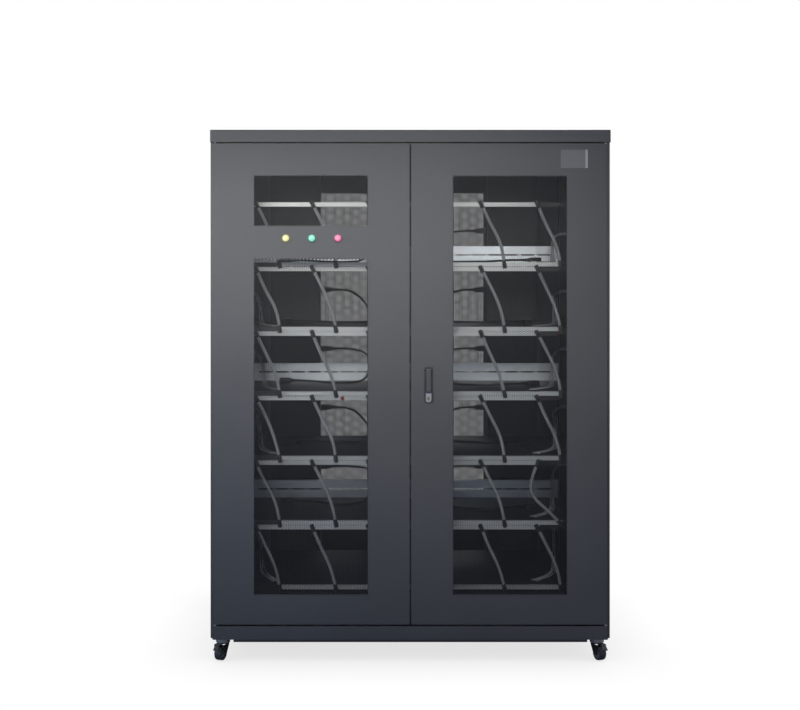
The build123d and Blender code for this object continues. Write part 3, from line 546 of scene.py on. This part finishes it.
BEZEL_RADIUS = 15.5 * MM
LENS_RADIUS = 11.5 * MM
BEZEL_HEIGHT = 3 * MM
LENS_DOME = 5 * MM
NUT_RADIUS = 14 * MM
BODY_RADIUS = 11 * MM
BODY_LENGTH = 34 * MM
# Painted glow: emission on the lenses that stands in for light on them.
LENS_PAINTED_GLOW = 0.2
LAMP_CORNERS = 48
LAMP_TINTS = {
    "yellow": ("#5d5826", "#ebe19c"),
    "green": ("#164f3e", "#84d9bc"),
    "red": ("#642034", "#e8809c"),
}
for tint, (ring_colour, lens_colour) in LAMP_TINTS.items():
    node = f"{tint}_lamp"
    low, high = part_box(node)
    centre = ((low[0] + high[0]) / 2, FRONT, (low[2] + high[2]) / 2)
    lens_seat = (LENS_RADIUS, BEZEL_HEIGHT - 1 * MM)
    ring_profile = [
        lens_seat, (LENS_RADIUS, BEZEL_HEIGHT), (BEZEL_RADIUS - 1.5 * MM, BEZEL_HEIGHT),
        (BEZEL_RADIUS - 0.4 * MM, BEZEL_HEIGHT - 0.6 * MM), (BEZEL_RADIUS, 1.5 * MM),
        (BEZEL_RADIUS, 0), (BODY_RADIUS, 0),
    ]
    dome = [
        (LENS_RADIUS * cos(turn), BEZEL_HEIGHT + LENS_DOME * sin(turn))
        for turn in np.linspace(0.2, pi / 2 - 0.12, 7)
    ]
    lens_profile = [
        lens_seat, (LENS_RADIUS, BEZEL_HEIGHT), *dome, (0, BEZEL_HEIGHT + LENS_DOME),
    ]
    body_profile = [
        (BODY_RADIUS, 0), (BODY_RADIUS, -3 * MM), (NUT_RADIUS, -3 * MM), (NUT_RADIUS, -8 * MM),
        (BODY_RADIUS, -8 * MM), (BODY_RADIUS, -BODY_LENGTH), (0, -BODY_LENGTH),
    ]
    for part, profile, material in (
        ("ring", ring_profile, tinted(f"{tint}_ring_polycarbonate", ring_colour, 0.3)),
        ("lens", lens_profile, tinted(f"{tint}_lens_painted_glow_polycarbonate", lens_colour, 0.15, LENS_PAINTED_GLOW)),
        ("body", body_profile, nylon_fitting),
    ):
        turned = [(centre, (0, -1, 0), (1, 0, 0), LAMP_CORNERS, round_sections(profile))]
        piece = stacked(f"{node}_{part}", turned, material)
        place_piece(piece, "left_door", f"lamp_{tint}", node)

# %% [markdown]
# A push-in fitting has a body that is closed at the top, a hexagon nut and a release collar that the
# hose goes through. It sits on a short stub in front of its rail and leans as the hose pulls it, more at
# the supply rail above than at the return rail below. One hose bows out where another is in its way, and
# has its own leans.

# %% Push-in fittings
BAYS = 6
PORTS = 6
RAIL_SIZE = 15 * MM
PORT_INSET = 8 * MM
FITTING_REACH = 12 * MM
FITTING_RADIUS = 8 * MM
FITTING_HALF = 14.5 * MM
STUB_RADIUS = 4.5 * MM
BODY_CORNERS = 24
NUT_CORNERS = 6
STUB_CORNERS = 16
SUPPLY_LEAN = [27, 23, 29, 25, 21, 28]
RETURN_LEAN = [9, 12, 7, 10, 13, 8]
BOWED_HOSE = (1, 5)
BOWED_SUPPLY_LEAN = -22
BOWED_RETURN_LEAN = 45
BOWED_VIA = Vector((-20 * MM, 0, -120 * MM))

supply_low, supply_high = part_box("supply_rails")
return_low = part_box("return_rails")[0]
port_pitch = (supply_high[0] - supply_low[0] - 2 * PORT_INSET) / (PORTS - 1)
bay_pitch = (supply_high[2] - supply_low[2] - RAIL_SIZE) / (BAYS - 1)
rail_front = supply_low[1]


def downward(lean):
    """The direction of a fitting or hose that leans out of plumb."""
    return Vector((sin(radians(lean)), 0, -cos(radians(lean))))


def leans(bay, port):
    """How far the upper and the lower fitting of a hose lean."""
    if (bay, port) == BOWED_HOSE:
        return BOWED_SUPPLY_LEAN, BOWED_RETURN_LEAN
    return SUPPLY_LEAN[(port + bay) % PORTS], RETURN_LEAN[(port + 2 * bay) % PORTS]


FITTING_BODY = round_sections([
    (0, -FITTING_HALF), (5.5 * MM, -FITTING_HALF), (7.2 * MM, -13.3 * MM), (7.6 * MM, -11.5 * MM),
    (7.6 * MM, 2 * MM), (6.6 * MM, 2.6 * MM), (6.6 * MM, 7.4 * MM), (7.3 * MM, 8 * MM),
    (7.3 * MM, 12.8 * MM), (6.4 * MM, FITTING_HALF), (5.8 * MM, FITTING_HALF),
])
FITTING_NUT = round_sections([
    (6 * MM, -3 * MM), (FITTING_RADIUS, -3 * MM), (FITTING_RADIUS, 5 * MM), (6 * MM, 5 * MM),
])
FITTING_STUB = round_sections([(STUB_RADIUS, 0), (STUB_RADIUS, FITTING_REACH)])
supply_ports, return_ports = {}, {}
for bay in range(BAYS):
    for port in range(PORTS):
        across = PORT_INSET + port_pitch * port
        up = RAIL_SIZE / 2 + bay_pitch * bay
        y = rail_front - FITTING_REACH
        supply_ports[bay, port] = Vector((supply_low[0] + across, y, supply_low[2] + up))
        return_ports[bay, port] = Vector((return_low[0] + across, y, return_low[2] + up))
for name, places, end in (("supply_fittings", supply_ports, 0), ("return_fittings", return_ports, 1)):
    bodies = []
    for key, place in places.items():
        axis = downward(leans(*key)[end]) * (1 if end == 0 else -1)
        bodies.append((place, axis, (0, 1, 0), BODY_CORNERS, FITTING_BODY))
        bodies.append((place, axis, (0, 1, 0), NUT_CORNERS, FITTING_NUT))
        bodies.append((place, (0, 1, 0), (1, 0, 0), STUB_CORNERS, FITTING_STUB))
    piece = stacked(f"{name}_push_in", bodies, nylon_fitting)
    place_piece(piece, "cabinet", "fitting_plastic", name)

# %% [markdown]
# The jumper hoses hang between a port of the supply rail and the next port of the return rail one
# bay below. Polyurethane hose is springy: it leaves and enters its fittings straight, and bows gently
# between them. A NURBS curve with a round bevel has just that line. The same function draws the power
# cords and the strands of the sensor leads.

# %% Jumper hoses
def round_lines(name, routes, diameter, material, resolution=6):
    """Round cords, one spline for each route."""
    curve = bpy.data.curves.new(name, "CURVE")
    curve.dimensions = "3D"
    for route in routes:
        spline = curve.splines.new("NURBS")
        spline.points.add(len(route) - 1)
        for knot, point in zip(spline.points, route):
            knot.co = (*point, 1)
        spline.order_u = 3
        spline.use_endpoint_u = True
    curve.bevel_depth = diameter / 2
    curve.bevel_resolution = 3
    curve.resolution_u = resolution
    curve.use_fill_caps = True
    if material:
        curve.materials.append(material)
    return link_object(name, curve)


HOSE_DIAMETER = 12 * MM
HOSE_RUN = 55 * MM
hose_routes = []
for key in supply_ports:
    lean_out, lean_in = leans(*key)
    start = supply_ports[key] + downward(lean_out) * FITTING_HALF
    end = return_ports[key] - downward(lean_in) * FITTING_HALF
    via = [supply_ports[key] + BOWED_VIA] if key == BOWED_HOSE else []
    hose_routes.append([
        start, start + downward(lean_out) * HOSE_RUN, *via, end - downward(lean_in) * HOSE_RUN, end,
    ])
hoses = round_lines("jumper_hoses", hose_routes, HOSE_DIAMETER, hose_polyurethane)
place_piece(hoses, "cabinet", "hose", "loop_hoses")
print("hoses:", len(hose_routes))

# %% [markdown]
# Each power column has a socket for every bay, and five of the six on each side hold a plug. A cord
# leaves the plug through a ribbed strain relief, drops to the shelf and lies across it towards the
# middle, where its connector waits for a unit. The routes are the CAD model's own points: inward of the
# column, behind the front, above the shelf. On every second shelf the cord goes over a cable tray.

# %% Plugs, power cords and connectors
SHELF_LIP = 31.5 * MM
SOCKET_HALF_HEIGHT = 12 * MM
SOCKET_DEPTH_PLACE = 850
FIRST_PLUG = 1
PLUG_REACH = 74
CORD_DIAMETER = 8.5 * MM
CORD_LIE = 4.55
CONNECTOR_LIE = 10.3
TRAY_SIDE = 580
CORDS_OVER_TRAY = {
    -1: [
        (200, 750, 94), (210, 690, 88), (214, 628, 84), (208, 574, 46), (192, 524, 14),
        (156, 482, CORD_LIE), (104, 462, CORD_LIE), (44, 470, CORD_LIE),
        (-14, 492, CONNECTOR_LIE), (-66, 500, CONNECTOR_LIE),
    ],
    1: [
        (202, 752, 94), (216, 692, 88), (223, 628, 84), (224, 572, 46), (218, 516, 14),
        (198, 458, CORD_LIE), (160, 404, CORD_LIE), (106, 362, CORD_LIE), (42, 340, CORD_LIE),
        (-24, 346, CONNECTOR_LIE), (-80, 366, CONNECTOR_LIE),
    ],
}
CORDS_ON_SHELF = {
    -1: [
        (214, 752, 24), (226, 698, 7), (224, 636, CORD_LIE), (204, 578, CORD_LIE), (160, 536, CORD_LIE),
        (102, 518, CORD_LIE), (40, 524, CORD_LIE), (-20, 510, CONNECTOR_LIE), (-74, 478, CONNECTOR_LIE),
    ],
    1: [
        (212, 750, 24), (216, 694, 7), (204, 632, CORD_LIE), (172, 578, CORD_LIE), (122, 540, CORD_LIE),
        (62, 524, CORD_LIE), (2, 504, CORD_LIE), (-46, 464, CONNECTOR_LIE), (-80, 414, CONNECTOR_LIE),
    ],
}
CORD_SHIFT = {1: (0, 0), 2: (10, -12), 3: (-8, 10), 4: (6, -22), 5: (-12, -6)}

shelves_low, shelves_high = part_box("shelves")
first_shelf = shelves_low[2] + SHELF_LIP
shelf_tops = [first_shelf + bay_pitch * n for n in range(BAYS)]
column_inner = -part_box("left_power_unit")[1][0]
plugs_low, plugs_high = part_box("left_power_plugs")
socket_pitch = (plugs_high[2] - plugs_low[2] - 2 * SOCKET_HALF_HEIGHT) / (len(CORD_SHIFT) - 1)
socket_heights = [
    plugs_low[2] + SOCKET_HALF_HEIGHT + socket_pitch * (n - FIRST_PLUG) for n in range(BAYS)
]


def cord_route(side, bay):
    """The points of one power cord, from its plug to its connector."""
    rise = (socket_heights[bay] - shelf_tops[bay]) / MM
    if bay % 2 == 1:
        leave = [(34, 0, rise), (78, -16, rise * 0.8 + 18), (110, -52, rise * 0.3 + 66)]
        rest = CORDS_OVER_TRAY[side]
    else:
        leave = [(34, 0, rise), (78, -14, rise - 20), (114, -50, rise - 60)]
        rest = CORDS_ON_SHELF[side]
    sideways, deeper = CORD_SHIFT[bay]
    spots = [(PLUG_REACH, SOCKET_DEPTH_PLACE, rise)]
    spots += [(PLUG_REACH + u, SOCKET_DEPTH_PLACE + d, z) for u, d, z in leave]
    spots += [(u + sideways, d + (deeper if d < TRAY_SIDE else 0), z) for u, d, z in rest]
    return [
        Vector((side * (column_inner - u * MM), FRONT + d * MM, shelf_tops[bay] + z * MM))
        for u, d, z in spots
    ]


def spline_points(route):
    """The points of a route's own NURBS spline."""
    bare = round_lines("bare_line", [route], 0, None, resolution=12)
    mesh = bpy.data.meshes.new_from_object(bare)
    points = [v.co.copy() for v in mesh.vertices]
    bpy.data.objects.remove(bare)
    return points


def line_length(points):
    """The length of a line through points."""
    return sum((b - a).length for a, b in zip(points, points[1:]))


RIB_PITCH = 5.4
RIB_WIDTH = 2.6
RELIEF_RIBS = [
    (step * MM, radius * MM, radius * MM, 2)
    for rib in range(5) for step, radius in (
        (rib * RIB_PITCH, 6.6 - rib * 0.3), (rib * RIB_PITCH + RIB_WIDTH, 6.6 - rib * 0.3),
        (rib * RIB_PITCH + RIB_WIDTH, 5.3 - rib * 0.15),
        (rib * RIB_PITCH + RIB_PITCH, 5.3 - rib * 0.15),
    )
]
PLUG_LENGTH = 46 * MM
PLUG_BODY = [
    (0, 0, 0, 2), (0, 14.5 * MM, 10.5 * MM, 6), (1.2 * MM, 16 * MM, 12 * MM, 6),
    (26 * MM, 15.2 * MM, 11.4 * MM, 5), (36 * MM, 12.6 * MM, 10.6 * MM, 3.5),
    (43 * MM, 10 * MM, 9.4 * MM, 2.6), (PLUG_LENGTH, 8.4 * MM, 8.2 * MM, 2.2),
    (PLUG_LENGTH, 6.6 * MM, 6.6 * MM, 2),
]
RELIEF_LENGTH = 28 * MM
CONNECTOR_LENGTH = 46 * MM
RECESS_FLOOR = 32 * MM
PLUG_CORNERS = 32
RELIEF_CORNERS = 20
CONNECTOR_BODY = [
    (height + RELIEF_LENGTH, half_width, half_depth, power)
    for height, half_width, half_depth, power in (
        (0, 6.4 * MM, 6.2 * MM, 2), (2 * MM, 9.5 * MM, 8 * MM, 3), (9 * MM, 12.6 * MM, 9.4 * MM, 5),
        (14 * MM, 13.5 * MM, 10 * MM, 6), (45 * MM, 13.5 * MM, 10 * MM, 6),
        (CONNECTOR_LENGTH, 12.8 * MM, 9.4 * MM, 6), (CONNECTOR_LENGTH, 10.6 * MM, 7.4 * MM, 6),
        (RECESS_FLOOR, 10.6 * MM, 7.4 * MM, 6), (RECESS_FLOOR, 0, 0, 2),
    )
]
CONNECTOR_RELIEF = [
    (RELIEF_LENGTH - height, half_width, half_depth, power)
    for height, half_width, half_depth, power in reversed(RELIEF_RIBS)
]
for side_name, side in (("left", -1), ("right", 1)):
    plug_bodies = []
    for bay in CORD_SHIFT:
        socket = Vector((side * column_inner, FRONT + SOCKET_DEPTH_PLACE * MM, socket_heights[bay]))
        inward = Vector((-side, 0, 0))
        relief = socket + inward * PLUG_LENGTH
        plug_bodies.append((socket, inward, (0, 1, 0), PLUG_CORNERS, PLUG_BODY))
        plug_bodies.append((relief, inward, (0, 1, 0), RELIEF_CORNERS, RELIEF_RIBS))
        route = cord_route(side, bay)
        cord = round_lines(
            f"{side_name}_power_cord_{bay}", [route], CORD_DIAMETER, jacket_pvc, resolution=10,
        )
        place_piece(cord, "cabinet", "cord_rubber", f"{side_name}_power_cords")
        heading = (route[-1] - route[-2]).normalized()
        level = heading.cross(Vector((0, 0, 1)))
        connector = stacked(f"{side_name}_cord_connector_{bay}", [
            (route[-1], heading, level, RELIEF_CORNERS, CONNECTOR_RELIEF),
            (route[-1], heading, level, PLUG_CORNERS, CONNECTOR_BODY),
        ], plug_pvc)
        place_piece(connector, "cabinet", "black_plastic", "cord_connectors")
        length = round(line_length(spline_points(route)), 2)
        print(side_name, "cord", bay, "length:", length)
    plugs = stacked(f"{side_name}_mains_plugs", plug_bodies, plug_pvc)
    place_piece(plugs, "cabinet", "black_plastic", f"{side_name}_power_plugs")

# %% [markdown]
# Thin grey sensor leads come out of a clip on the rear upright in a round bundle of four. They reach over
# the tray, fan out as they come down on the shelf and end near its front in small white connectors. The
# CAD model has one tube for a bundle. Each lead takes the points of that tube's route, shifted first to a
# small circle round it and at the end side by side, with a slow wander that keeps them from running
# parallel. The fourth lead is as long as its neighbours.

# %% Sensor leads
LEAD_DIAMETER = 3.6 * MM
LEADS_IN_BUNDLE = 4
BUNDLE_RADIUS = 3.8 * MM
FAN_PITCH = 7 * MM
WANDER = 4 * MM
WANDER_TURN = 6
WANDER_PHASE = 2.3
BUNDLE_LIE = 7.3
LEAD_LIE = 2.1
LEADS = {
    -1: [
        (12, 722, 120), (40, 722, 120), (68, 696, 112), (84, 650, 100), (94, 600, 86),
        (104, 548, 62), (110, 494, 36), (114, 438, 15), (120, 380, BUNDLE_LIE),
        (132, 324, BUNDLE_LIE), (150, 270, BUNDLE_LIE), (178, 220, BUNDLE_LIE),
    ],
    1: [
        (12, 722, 120), (38, 722, 120), (62, 692, 112), (76, 644, 100), (84, 592, 86),
        (92, 538, 62), (100, 484, 36), (108, 428, 15), (118, 372, BUNDLE_LIE),
        (136, 318, BUNDLE_LIE), (162, 266, BUNDLE_LIE), (200, 222, BUNDLE_LIE),
    ],
}
LEAD_SHELVES = {-1: [0, 2, 3, 4], 1: [0, 1, 2, 3, 4, 5]}
LEAD_SHIFT = [0, 6, -5, 8, -3, 4]
FIRST_SHIFTED = 4
LEAD_PLUG_LENGTH = 11 * MM
LEAD_PLUG_CORNERS = 16
LEAD_PLUG = [
    (0, 1.9 * MM, 1.9 * MM, 2), (0.5 * MM, 3.4 * MM, 2 * MM, 6),
    (LEAD_PLUG_LENGTH, 3.4 * MM, 2 * MM, 6), (LEAD_PLUG_LENGTH, 0, 0, 2),
]
shelf_side = shelves_high[0]


def lead_route(bundle, lead):
    """One lead's points: round the bundle's line at first, beside its neighbours at the end."""
    turn = 2 * pi * lead / LEADS_IN_BUNDLE
    last = len(bundle) - 1
    route = []
    for n, point in enumerate(bundle):
        share = n / last
        fan = share * share * (3 - 2 * share)
        ahead = bundle[min(n + 1, last)] - bundle[max(n - 1, 0)]
        level = ahead.cross(Vector((0, 0, 1))).normalized()
        across = BUNDLE_RADIUS * cos(turn) * (1 - fan)
        across += (lead - (LEADS_IN_BUNDLE - 1) / 2) * FAN_PITCH * fan
        across += WANDER * sin(WANDER_TURN * share + WANDER_PHASE * lead) * 4 * share * (1 - share)
        up = BUNDLE_RADIUS * sin(turn) * (1 - fan) - (BUNDLE_LIE - LEAD_LIE) * MM * fan
        route.append(point + level * across + Vector((0, 0, up)))
    return route


for side_name, side in (("left", -1), ("right", 1)):
    for shelf in LEAD_SHELVES[side]:
        bundle = [
            Vector((
                side * (shelf_side - (v + (LEAD_SHIFT[shelf] if n >= FIRST_SHIFTED else 0)) * MM),
                FRONT + d * MM, shelf_tops[shelf] + z * MM,
            ))
            for n, (v, d, z) in enumerate(LEADS[side])
        ]
        for lead in range(LEADS_IN_BUNDLE):
            route = lead_route(bundle, lead)
            name = f"{side_name}_lead_{shelf + 1}_{lead + 1}"
            line = round_lines(name, [route], LEAD_DIAMETER, lead_pvc_painted_light, resolution=8)
            place_piece(line, "cabinet", "lead_jacket", f"{side_name}_sensor_leads")
            heading = route[-1] - route[-2]
            level = heading.cross(Vector((0, 0, 1)))
            plug_body = (route[-1], heading, level, LEAD_PLUG_CORNERS, LEAD_PLUG)
            plug = stacked(f"{name}_connector", [plug_body], plug_white)
            place_piece(plug, "cabinet", "lead_jacket")
            round(line_length(spline_points(route)), 2)

# %% [markdown]
# Each caster wheel is a rubber tyre moulded round a nylon hub, whose sides are dished. The front casters
# have trailed a little to one side, so the axis of a wheel is read from its own flat sides, which have
# the most area in one direction.

# %% Caster wheels
WHEEL_RADIUS = 26 * MM
WHEEL_HALF = 13 * MM
BORE_RADIUS = 4.1 * MM
RIM_RADIUS = 19.5 * MM
BOSS_RADIUS = 8 * MM
DISH_DEPTH = 2 * MM
WHEEL_CORNERS = 40


def both_sides(profile):
    """A ring's full profile from one half of it, closed at its start."""
    other = [(radius, -height) for radius, height in reversed(profile)]
    return round_sections([*profile, *other, profile[0]])


TYRE = both_sides([
    (RIM_RADIUS, -WHEEL_HALF + DISH_DEPTH), (RIM_RADIUS, -WHEEL_HALF + 0.8 * MM),
    (23.6 * MM, -WHEEL_HALF + 0.1 * MM), (25.3 * MM, -WHEEL_HALF + 1.4 * MM),
    (WHEEL_RADIUS, -WHEEL_HALF + 4 * MM),
])
HUB = both_sides([
    (BORE_RADIUS, -WHEEL_HALF), (BOSS_RADIUS, -WHEEL_HALF), (BOSS_RADIUS, -WHEEL_HALF + 3 * MM),
    (17.5 * MM, -WHEEL_HALF + 4 * MM), (RIM_RADIUS, -WHEEL_HALF + DISH_DEPTH),
])
for node in [n for n in nodes if n.endswith("_wheel")]:
    low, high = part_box(node)
    centre = (Vector(low) + Vector(high)) / 2
    area_towards = {}
    for face in nodes[node].data.polygons:
        direction = tuple(round(abs(c), 2) for c in face.normal)
        area_towards.setdefault(direction, []).append(face)
    flat_side = max(area_towards.values(), key=lambda faces: sum(f.area for f in faces))
    axle = nodes[node].matrix_world.to_3x3() @ flat_side[0].normal
    for part, sections, material in (("tyre", TYRE, wheel_rubber), ("hub", HUB, wheel_nylon)):
        turned = [(centre, axle, (0, 0, 1), WHEEL_CORNERS, sections)]
        place_piece(stacked(f"{node}_{part}", turned, material), node, "wheel", node)
    print(node, "axle:", [round(c, 2) for c in axle])

# %% [markdown]
# Small things finish the cabinet: a moulded frame round each socket, rubber seals that close the gap
# between the doors, the lock's cylinder with its keyway, a paler strip on the blank plate and the
# screws that hold the back panels, countersunk flush. The keyway and the screws' cross recesses are
# painted shade: thin black shapes stand on the faces where the slots would lie in shade. A block is a
# box between two corners. A section of power 8 is near a rectangle, which gives the frames and the
# arms of the screws' painted crosses.

# %% Small hardware
BOX_FACES = [(0, 2, 3, 1), (4, 5, 7, 6), (0, 1, 5, 4), (1, 3, 7, 5), (3, 2, 6, 7), (2, 0, 4, 6)]


def block(name, low, high, material):
    """A box between two corners."""
    corners = [
        (x, y, z) for z in (low[2], high[2]) for y in (low[1], high[1]) for x in (low[0], high[0])
    ]
    mesh = bpy.data.meshes.new(name)
    mesh.from_pydata(corners, [], BOX_FACES)
    mesh.materials.append(material)
    return link_object(name, mesh)


SQUARE = 8
FRAME_OUTER = (23 * MM, 19 * MM, SQUARE)
FRAME_BEVEL = (22 * MM, 18 * MM, SQUARE)
FRAME_INNER = (17.5 * MM, 13.5 * MM, SQUARE)
FRAME_RELIEF = 1.6 * MM
FRAME_CORNERS = 32
SOCKET_FRAME = [
    (0, *FRAME_OUTER), (1 * MM, *FRAME_OUTER), (FRAME_RELIEF, *FRAME_BEVEL),
    (FRAME_RELIEF, *FRAME_INNER), (0, *FRAME_INNER),
]
for side_name, side in (("left", -1), ("right", 1)):
    frames = []
    for z in socket_heights:
        place = (side * column_inner, FRONT + SOCKET_DEPTH_PLACE * MM, z)
        frames.append((place, (-side, 0, 0), (0, 1, 0), FRAME_CORNERS, SOCKET_FRAME))
    place_piece(stacked(f"{side_name}_socket_frames", frames, plug_pvc), "cabinet", "black_plastic")

SEAL_WIDTH = 2.6 * MM
SEAL_FRONT = 4 * MM
SEAL_BACK = 12 * MM
SEAL_INSET = 4 * MM
for side_name, side in (("left", -1), ("right", 1)):
    low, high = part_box(f"{side_name}_door_panel")
    edge = high[0] if side < 0 else low[0]
    across = sorted((edge, edge - side * SEAL_WIDTH))
    seal = block(
        f"{side_name}_door_seal", (across[0], FRONT + SEAL_FRONT, low[2] + SEAL_INSET),
        (across[1], FRONT + SEAL_BACK, high[2] - SEAL_INSET), seal_rubber_and_painted_shade,
    )
    place_piece(seal, f"{side_name}_door", "black_plastic")

CYLINDER_RADIUS = 5.5 * MM
CYLINDER_HEIGHT = 0.8 * MM
CYLINDER_SHARE = 0.42
CYLINDER_CORNERS = 32
KEYWAY = (0.7 * MM, 0.2 * MM, 3.2 * MM)
low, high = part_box("lock_housing")
cylinder_z = low[2] + (high[2] - low[2]) * CYLINDER_SHARE
lock_face = Vector(((low[0] + high[0]) / 2, low[1], cylinder_z))
cylinder_sections = round_sections([
    (CYLINDER_RADIUS, 0), (CYLINDER_RADIUS, 0.5 * MM),
    (CYLINDER_RADIUS - 0.4 * MM, CYLINDER_HEIGHT), (0, CYLINDER_HEIGHT),
])
cylinder = stacked("lock_cylinder", [
    (lock_face, (0, -1, 0), (1, 0, 0), CYLINDER_CORNERS, cylinder_sections),
], lock_brass)
# Painted shade: a thin black block on the cylinder's face stands for the dark slot of the keyway.
keyway_face = lock_face - Vector((0, CYLINDER_HEIGHT, 0))
painted_keyway_shade = block(
    "lock_keyway_painted_shade", keyway_face - Vector(KEYWAY), keyway_face + Vector(KEYWAY), seal_rubber_and_painted_shade,
)
place_piece(cylinder, "right_door", "chrome")
place_piece(painted_keyway_shade, "right_door", "chrome")

STRIP_WIDTH = 8 * MM
STRIP_RELIEF = 0.3 * MM
low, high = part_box("name_plate")
strip = block(
    "plate_strip", (high[0] - STRIP_WIDTH, low[1] - STRIP_RELIEF, low[2]),
    (high[0], low[1], high[2]), strip_anodised,
)
place_piece(strip, "right_door", "plate")

HEAD_RADIUS = 4.6 * MM
HEAD_RELIEF = 0.05 * MM
CROSS_RELIEF = 0.07 * MM
CROSS_SIZE = (2.5 * MM, 0.5 * MM, SQUARE)
HEAD_CORNERS = 24
CROSS_CORNERS = 16
SCREW_HEAD = round_sections([
    (HEAD_RADIUS, 0), (HEAD_RADIUS, 0.03 * MM), (4.3 * MM, HEAD_RELIEF), (0, HEAD_RELIEF),
])
# Painted shade: thin black crosses on the screw heads stand for their dark cross recesses.
CROSS_ARM = [(0, *CROSS_SIZE), (CROSS_RELIEF, *CROSS_SIZE), (CROSS_RELIEF, 0, 0, 2)]
SCREW_EDGE = 14 * MM
SCREW_ROWS = 6
screws, recess_painted_shades = [], []
for node in ("rear_left_panel", "rear_right_panel"):
    low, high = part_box(node)
    for x in (low[0] + SCREW_EDGE, high[0] - SCREW_EDGE):
        for z in np.linspace(low[2] + SCREW_EDGE, high[2] - SCREW_EDGE, SCREW_ROWS):
            place = (x, BACK, z)
            screws.append((place, (0, 1, 0), (1, 0, 0), HEAD_CORNERS, SCREW_HEAD))
            for slant in (1, -1):
                recess_painted_shades.append((place, (0, 1, 0), (1, 0, slant), CROSS_CORNERS, CROSS_ARM))
place_piece(stacked("back_panel_screws", screws, screw_zinc), "cabinet", "zinc")
place_piece(stacked("screw_recesses_painted_shade", recess_painted_shades, seal_rubber_and_painted_shade), "cabinet", "zinc")

# %% [markdown]
# The stage is a plain white floor and soft light. A long softbox with a grid hangs high in front and to
# the left. The grid narrows its beam, so the light falls off towards the lower right, as on the real
# cabinet. What is left in its shade gets the blue of daylight, from the world and from a window on the
# left. Weak and broad fills light the front, the back, the sides and the roof, so that the cabinet can be
# looked at from all round. The camera sees the floor as white, darkened only where the cabinet hides the
# open sky above it: ambient occlusion gives that soft contact shadow. All other light sees a matt grey.

# %% Floor, world and lamps
FLOOR_SIZE = 60
SHADOW_REACH = 0.3
SHADOW_TONE = 0.72
WHITE = (1, 1, 1, 1)
MATT_GREY = (0.4, 0.4, 0.4, 1)
SKY_BLUE = (0.3, 0.48, 1.0, 1)
SKY_STRENGTH = 0.26
MIRRORED_BLUE = (0.68, 0.8, 1.0, 1)
MIRRORED_STRENGTH = 0.5
floor_white = new_material("floor_matt_white")
path = add(floor_white, "ShaderNodeLightPath")
matt = add(floor_white, "ShaderNodeBsdfDiffuse", {"Color": MATT_GREY})
open_sky = add(floor_white, "ShaderNodeAmbientOcclusion", {"Distance": SHADOW_REACH}, samples=8)
shade = add(floor_white, "ShaderNodeMapRange", {
    "Value": open_sky.outputs["AO"], "To Min": SHADOW_TONE, "To Max": 1,
})
glow = add(floor_white, "ShaderNodeEmission", {"Color": WHITE, "Strength": shade.outputs["Result"]})
ground = add(floor_white, "ShaderNodeMixShader", {
    0: path.outputs["Is Camera Ray"], 1: matt.outputs["BSDF"], 2: glow.outputs["Emission"],
})
add(floor_white, "ShaderNodeOutputMaterial", {"Surface": ground.outputs["Shader"]})
floor_mesh = bpy.data.meshes.new("floor")
half = FLOOR_SIZE / 2
floor_corners = [(-half, -half, 0), (half, -half, 0), (half, half, 0), (-half, half, 0)]
floor_mesh.from_pydata(floor_corners, [], [(0, 1, 2, 3)])
floor_mesh.materials.append(floor_white)
floor = link_object("floor", floor_mesh)

world = bpy.data.worlds.new("studio")
bpy.context.scene.world = world
world.use_nodes = True
world.node_tree.nodes.clear()
path = add(world, "ShaderNodeLightPath")
daylight = add(world, "ShaderNodeBackground", {"Color": SKY_BLUE, "Strength": SKY_STRENGTH})
mirrored = add(world, "ShaderNodeBackground", {
    "Color": MIRRORED_BLUE, "Strength": MIRRORED_STRENGTH,
})
white = add(world, "ShaderNodeBackground", {"Color": WHITE, "Strength": 1.0})
indirect = add(world, "ShaderNodeMixShader", {
    0: path.outputs["Is Glossy Ray"], 1: daylight.outputs["Background"],
    2: mirrored.outputs["Background"],
})
seen = add(world, "ShaderNodeMixShader", {
    0: path.outputs["Is Camera Ray"], 1: indirect.outputs["Shader"],
    2: white.outputs["Background"],
})
add(world, "ShaderNodeOutputWorld", {"Surface": seen.outputs["Shader"]})

WARM_WHITE = (1, 0.98, 0.94)
WINDOW_BLUE = (0.45, 0.64, 1)
OPEN = 180
GRID = 66


def softbox(name, place, target, size, power, spread=OPEN, colour=WARM_WHITE):
    """A rectangular area lamp that faces a point. Its spread is the angle that a grid leaves open."""
    data = bpy.data.lights.new(name, "AREA")
    data.shape = "RECTANGLE"
    data.size, data.size_y = size
    data.energy = power
    data.color = colour
    data.spread = radians(spread)
    lamp = link_object(name, data)
    lamp.location = place
    lamp.rotation_euler = (Vector(target) - Vector(place)).to_track_quat("-Z", "Y").to_euler()


softbox("key", (-0.75, FRONT - 1.9, 1.88), (-0.42, FRONT, 1.2), (2.8, 0.6), power=12, spread=GRID)
softbox(
    "window_left", (-2.3, FRONT - 1.3, 0.9), (-0.7, FRONT, 0.9), (1.0, 1.4), power=19,
    colour=WINDOW_BLUE,
)
softbox("fill_front", (-0.9, FRONT - 4.4, 1.4), (-0.3, FRONT, 1.3), (1.6, 1.4), power=8)
softbox("fill_back", (0.8, BACK + 2.8, 3.4), (0, BACK, 1.0), (2.0, 2.0), power=110)
softbox("fill_left", (-3.4, 0.5, 2.0), (-0.7, 0, 1.0), (1.6, 1.6), power=60)
softbox("fill_right", (3.4, 0.5, 2.0), (0.7, 0, 1.0), (1.6, 1.6), power=60)
softbox("fill_top", (0.3, 0.6, 4.4), (0, 0.2, 1.86), (1.6, 1.6), power=70)

# %% [markdown]
# Standard keeps colours as they are written. Only the heads of the back panels' screws pass the CAD
# model's box.

# %% Finish
scene = bpy.context.scene
scene.view_settings.view_transform = "Standard"
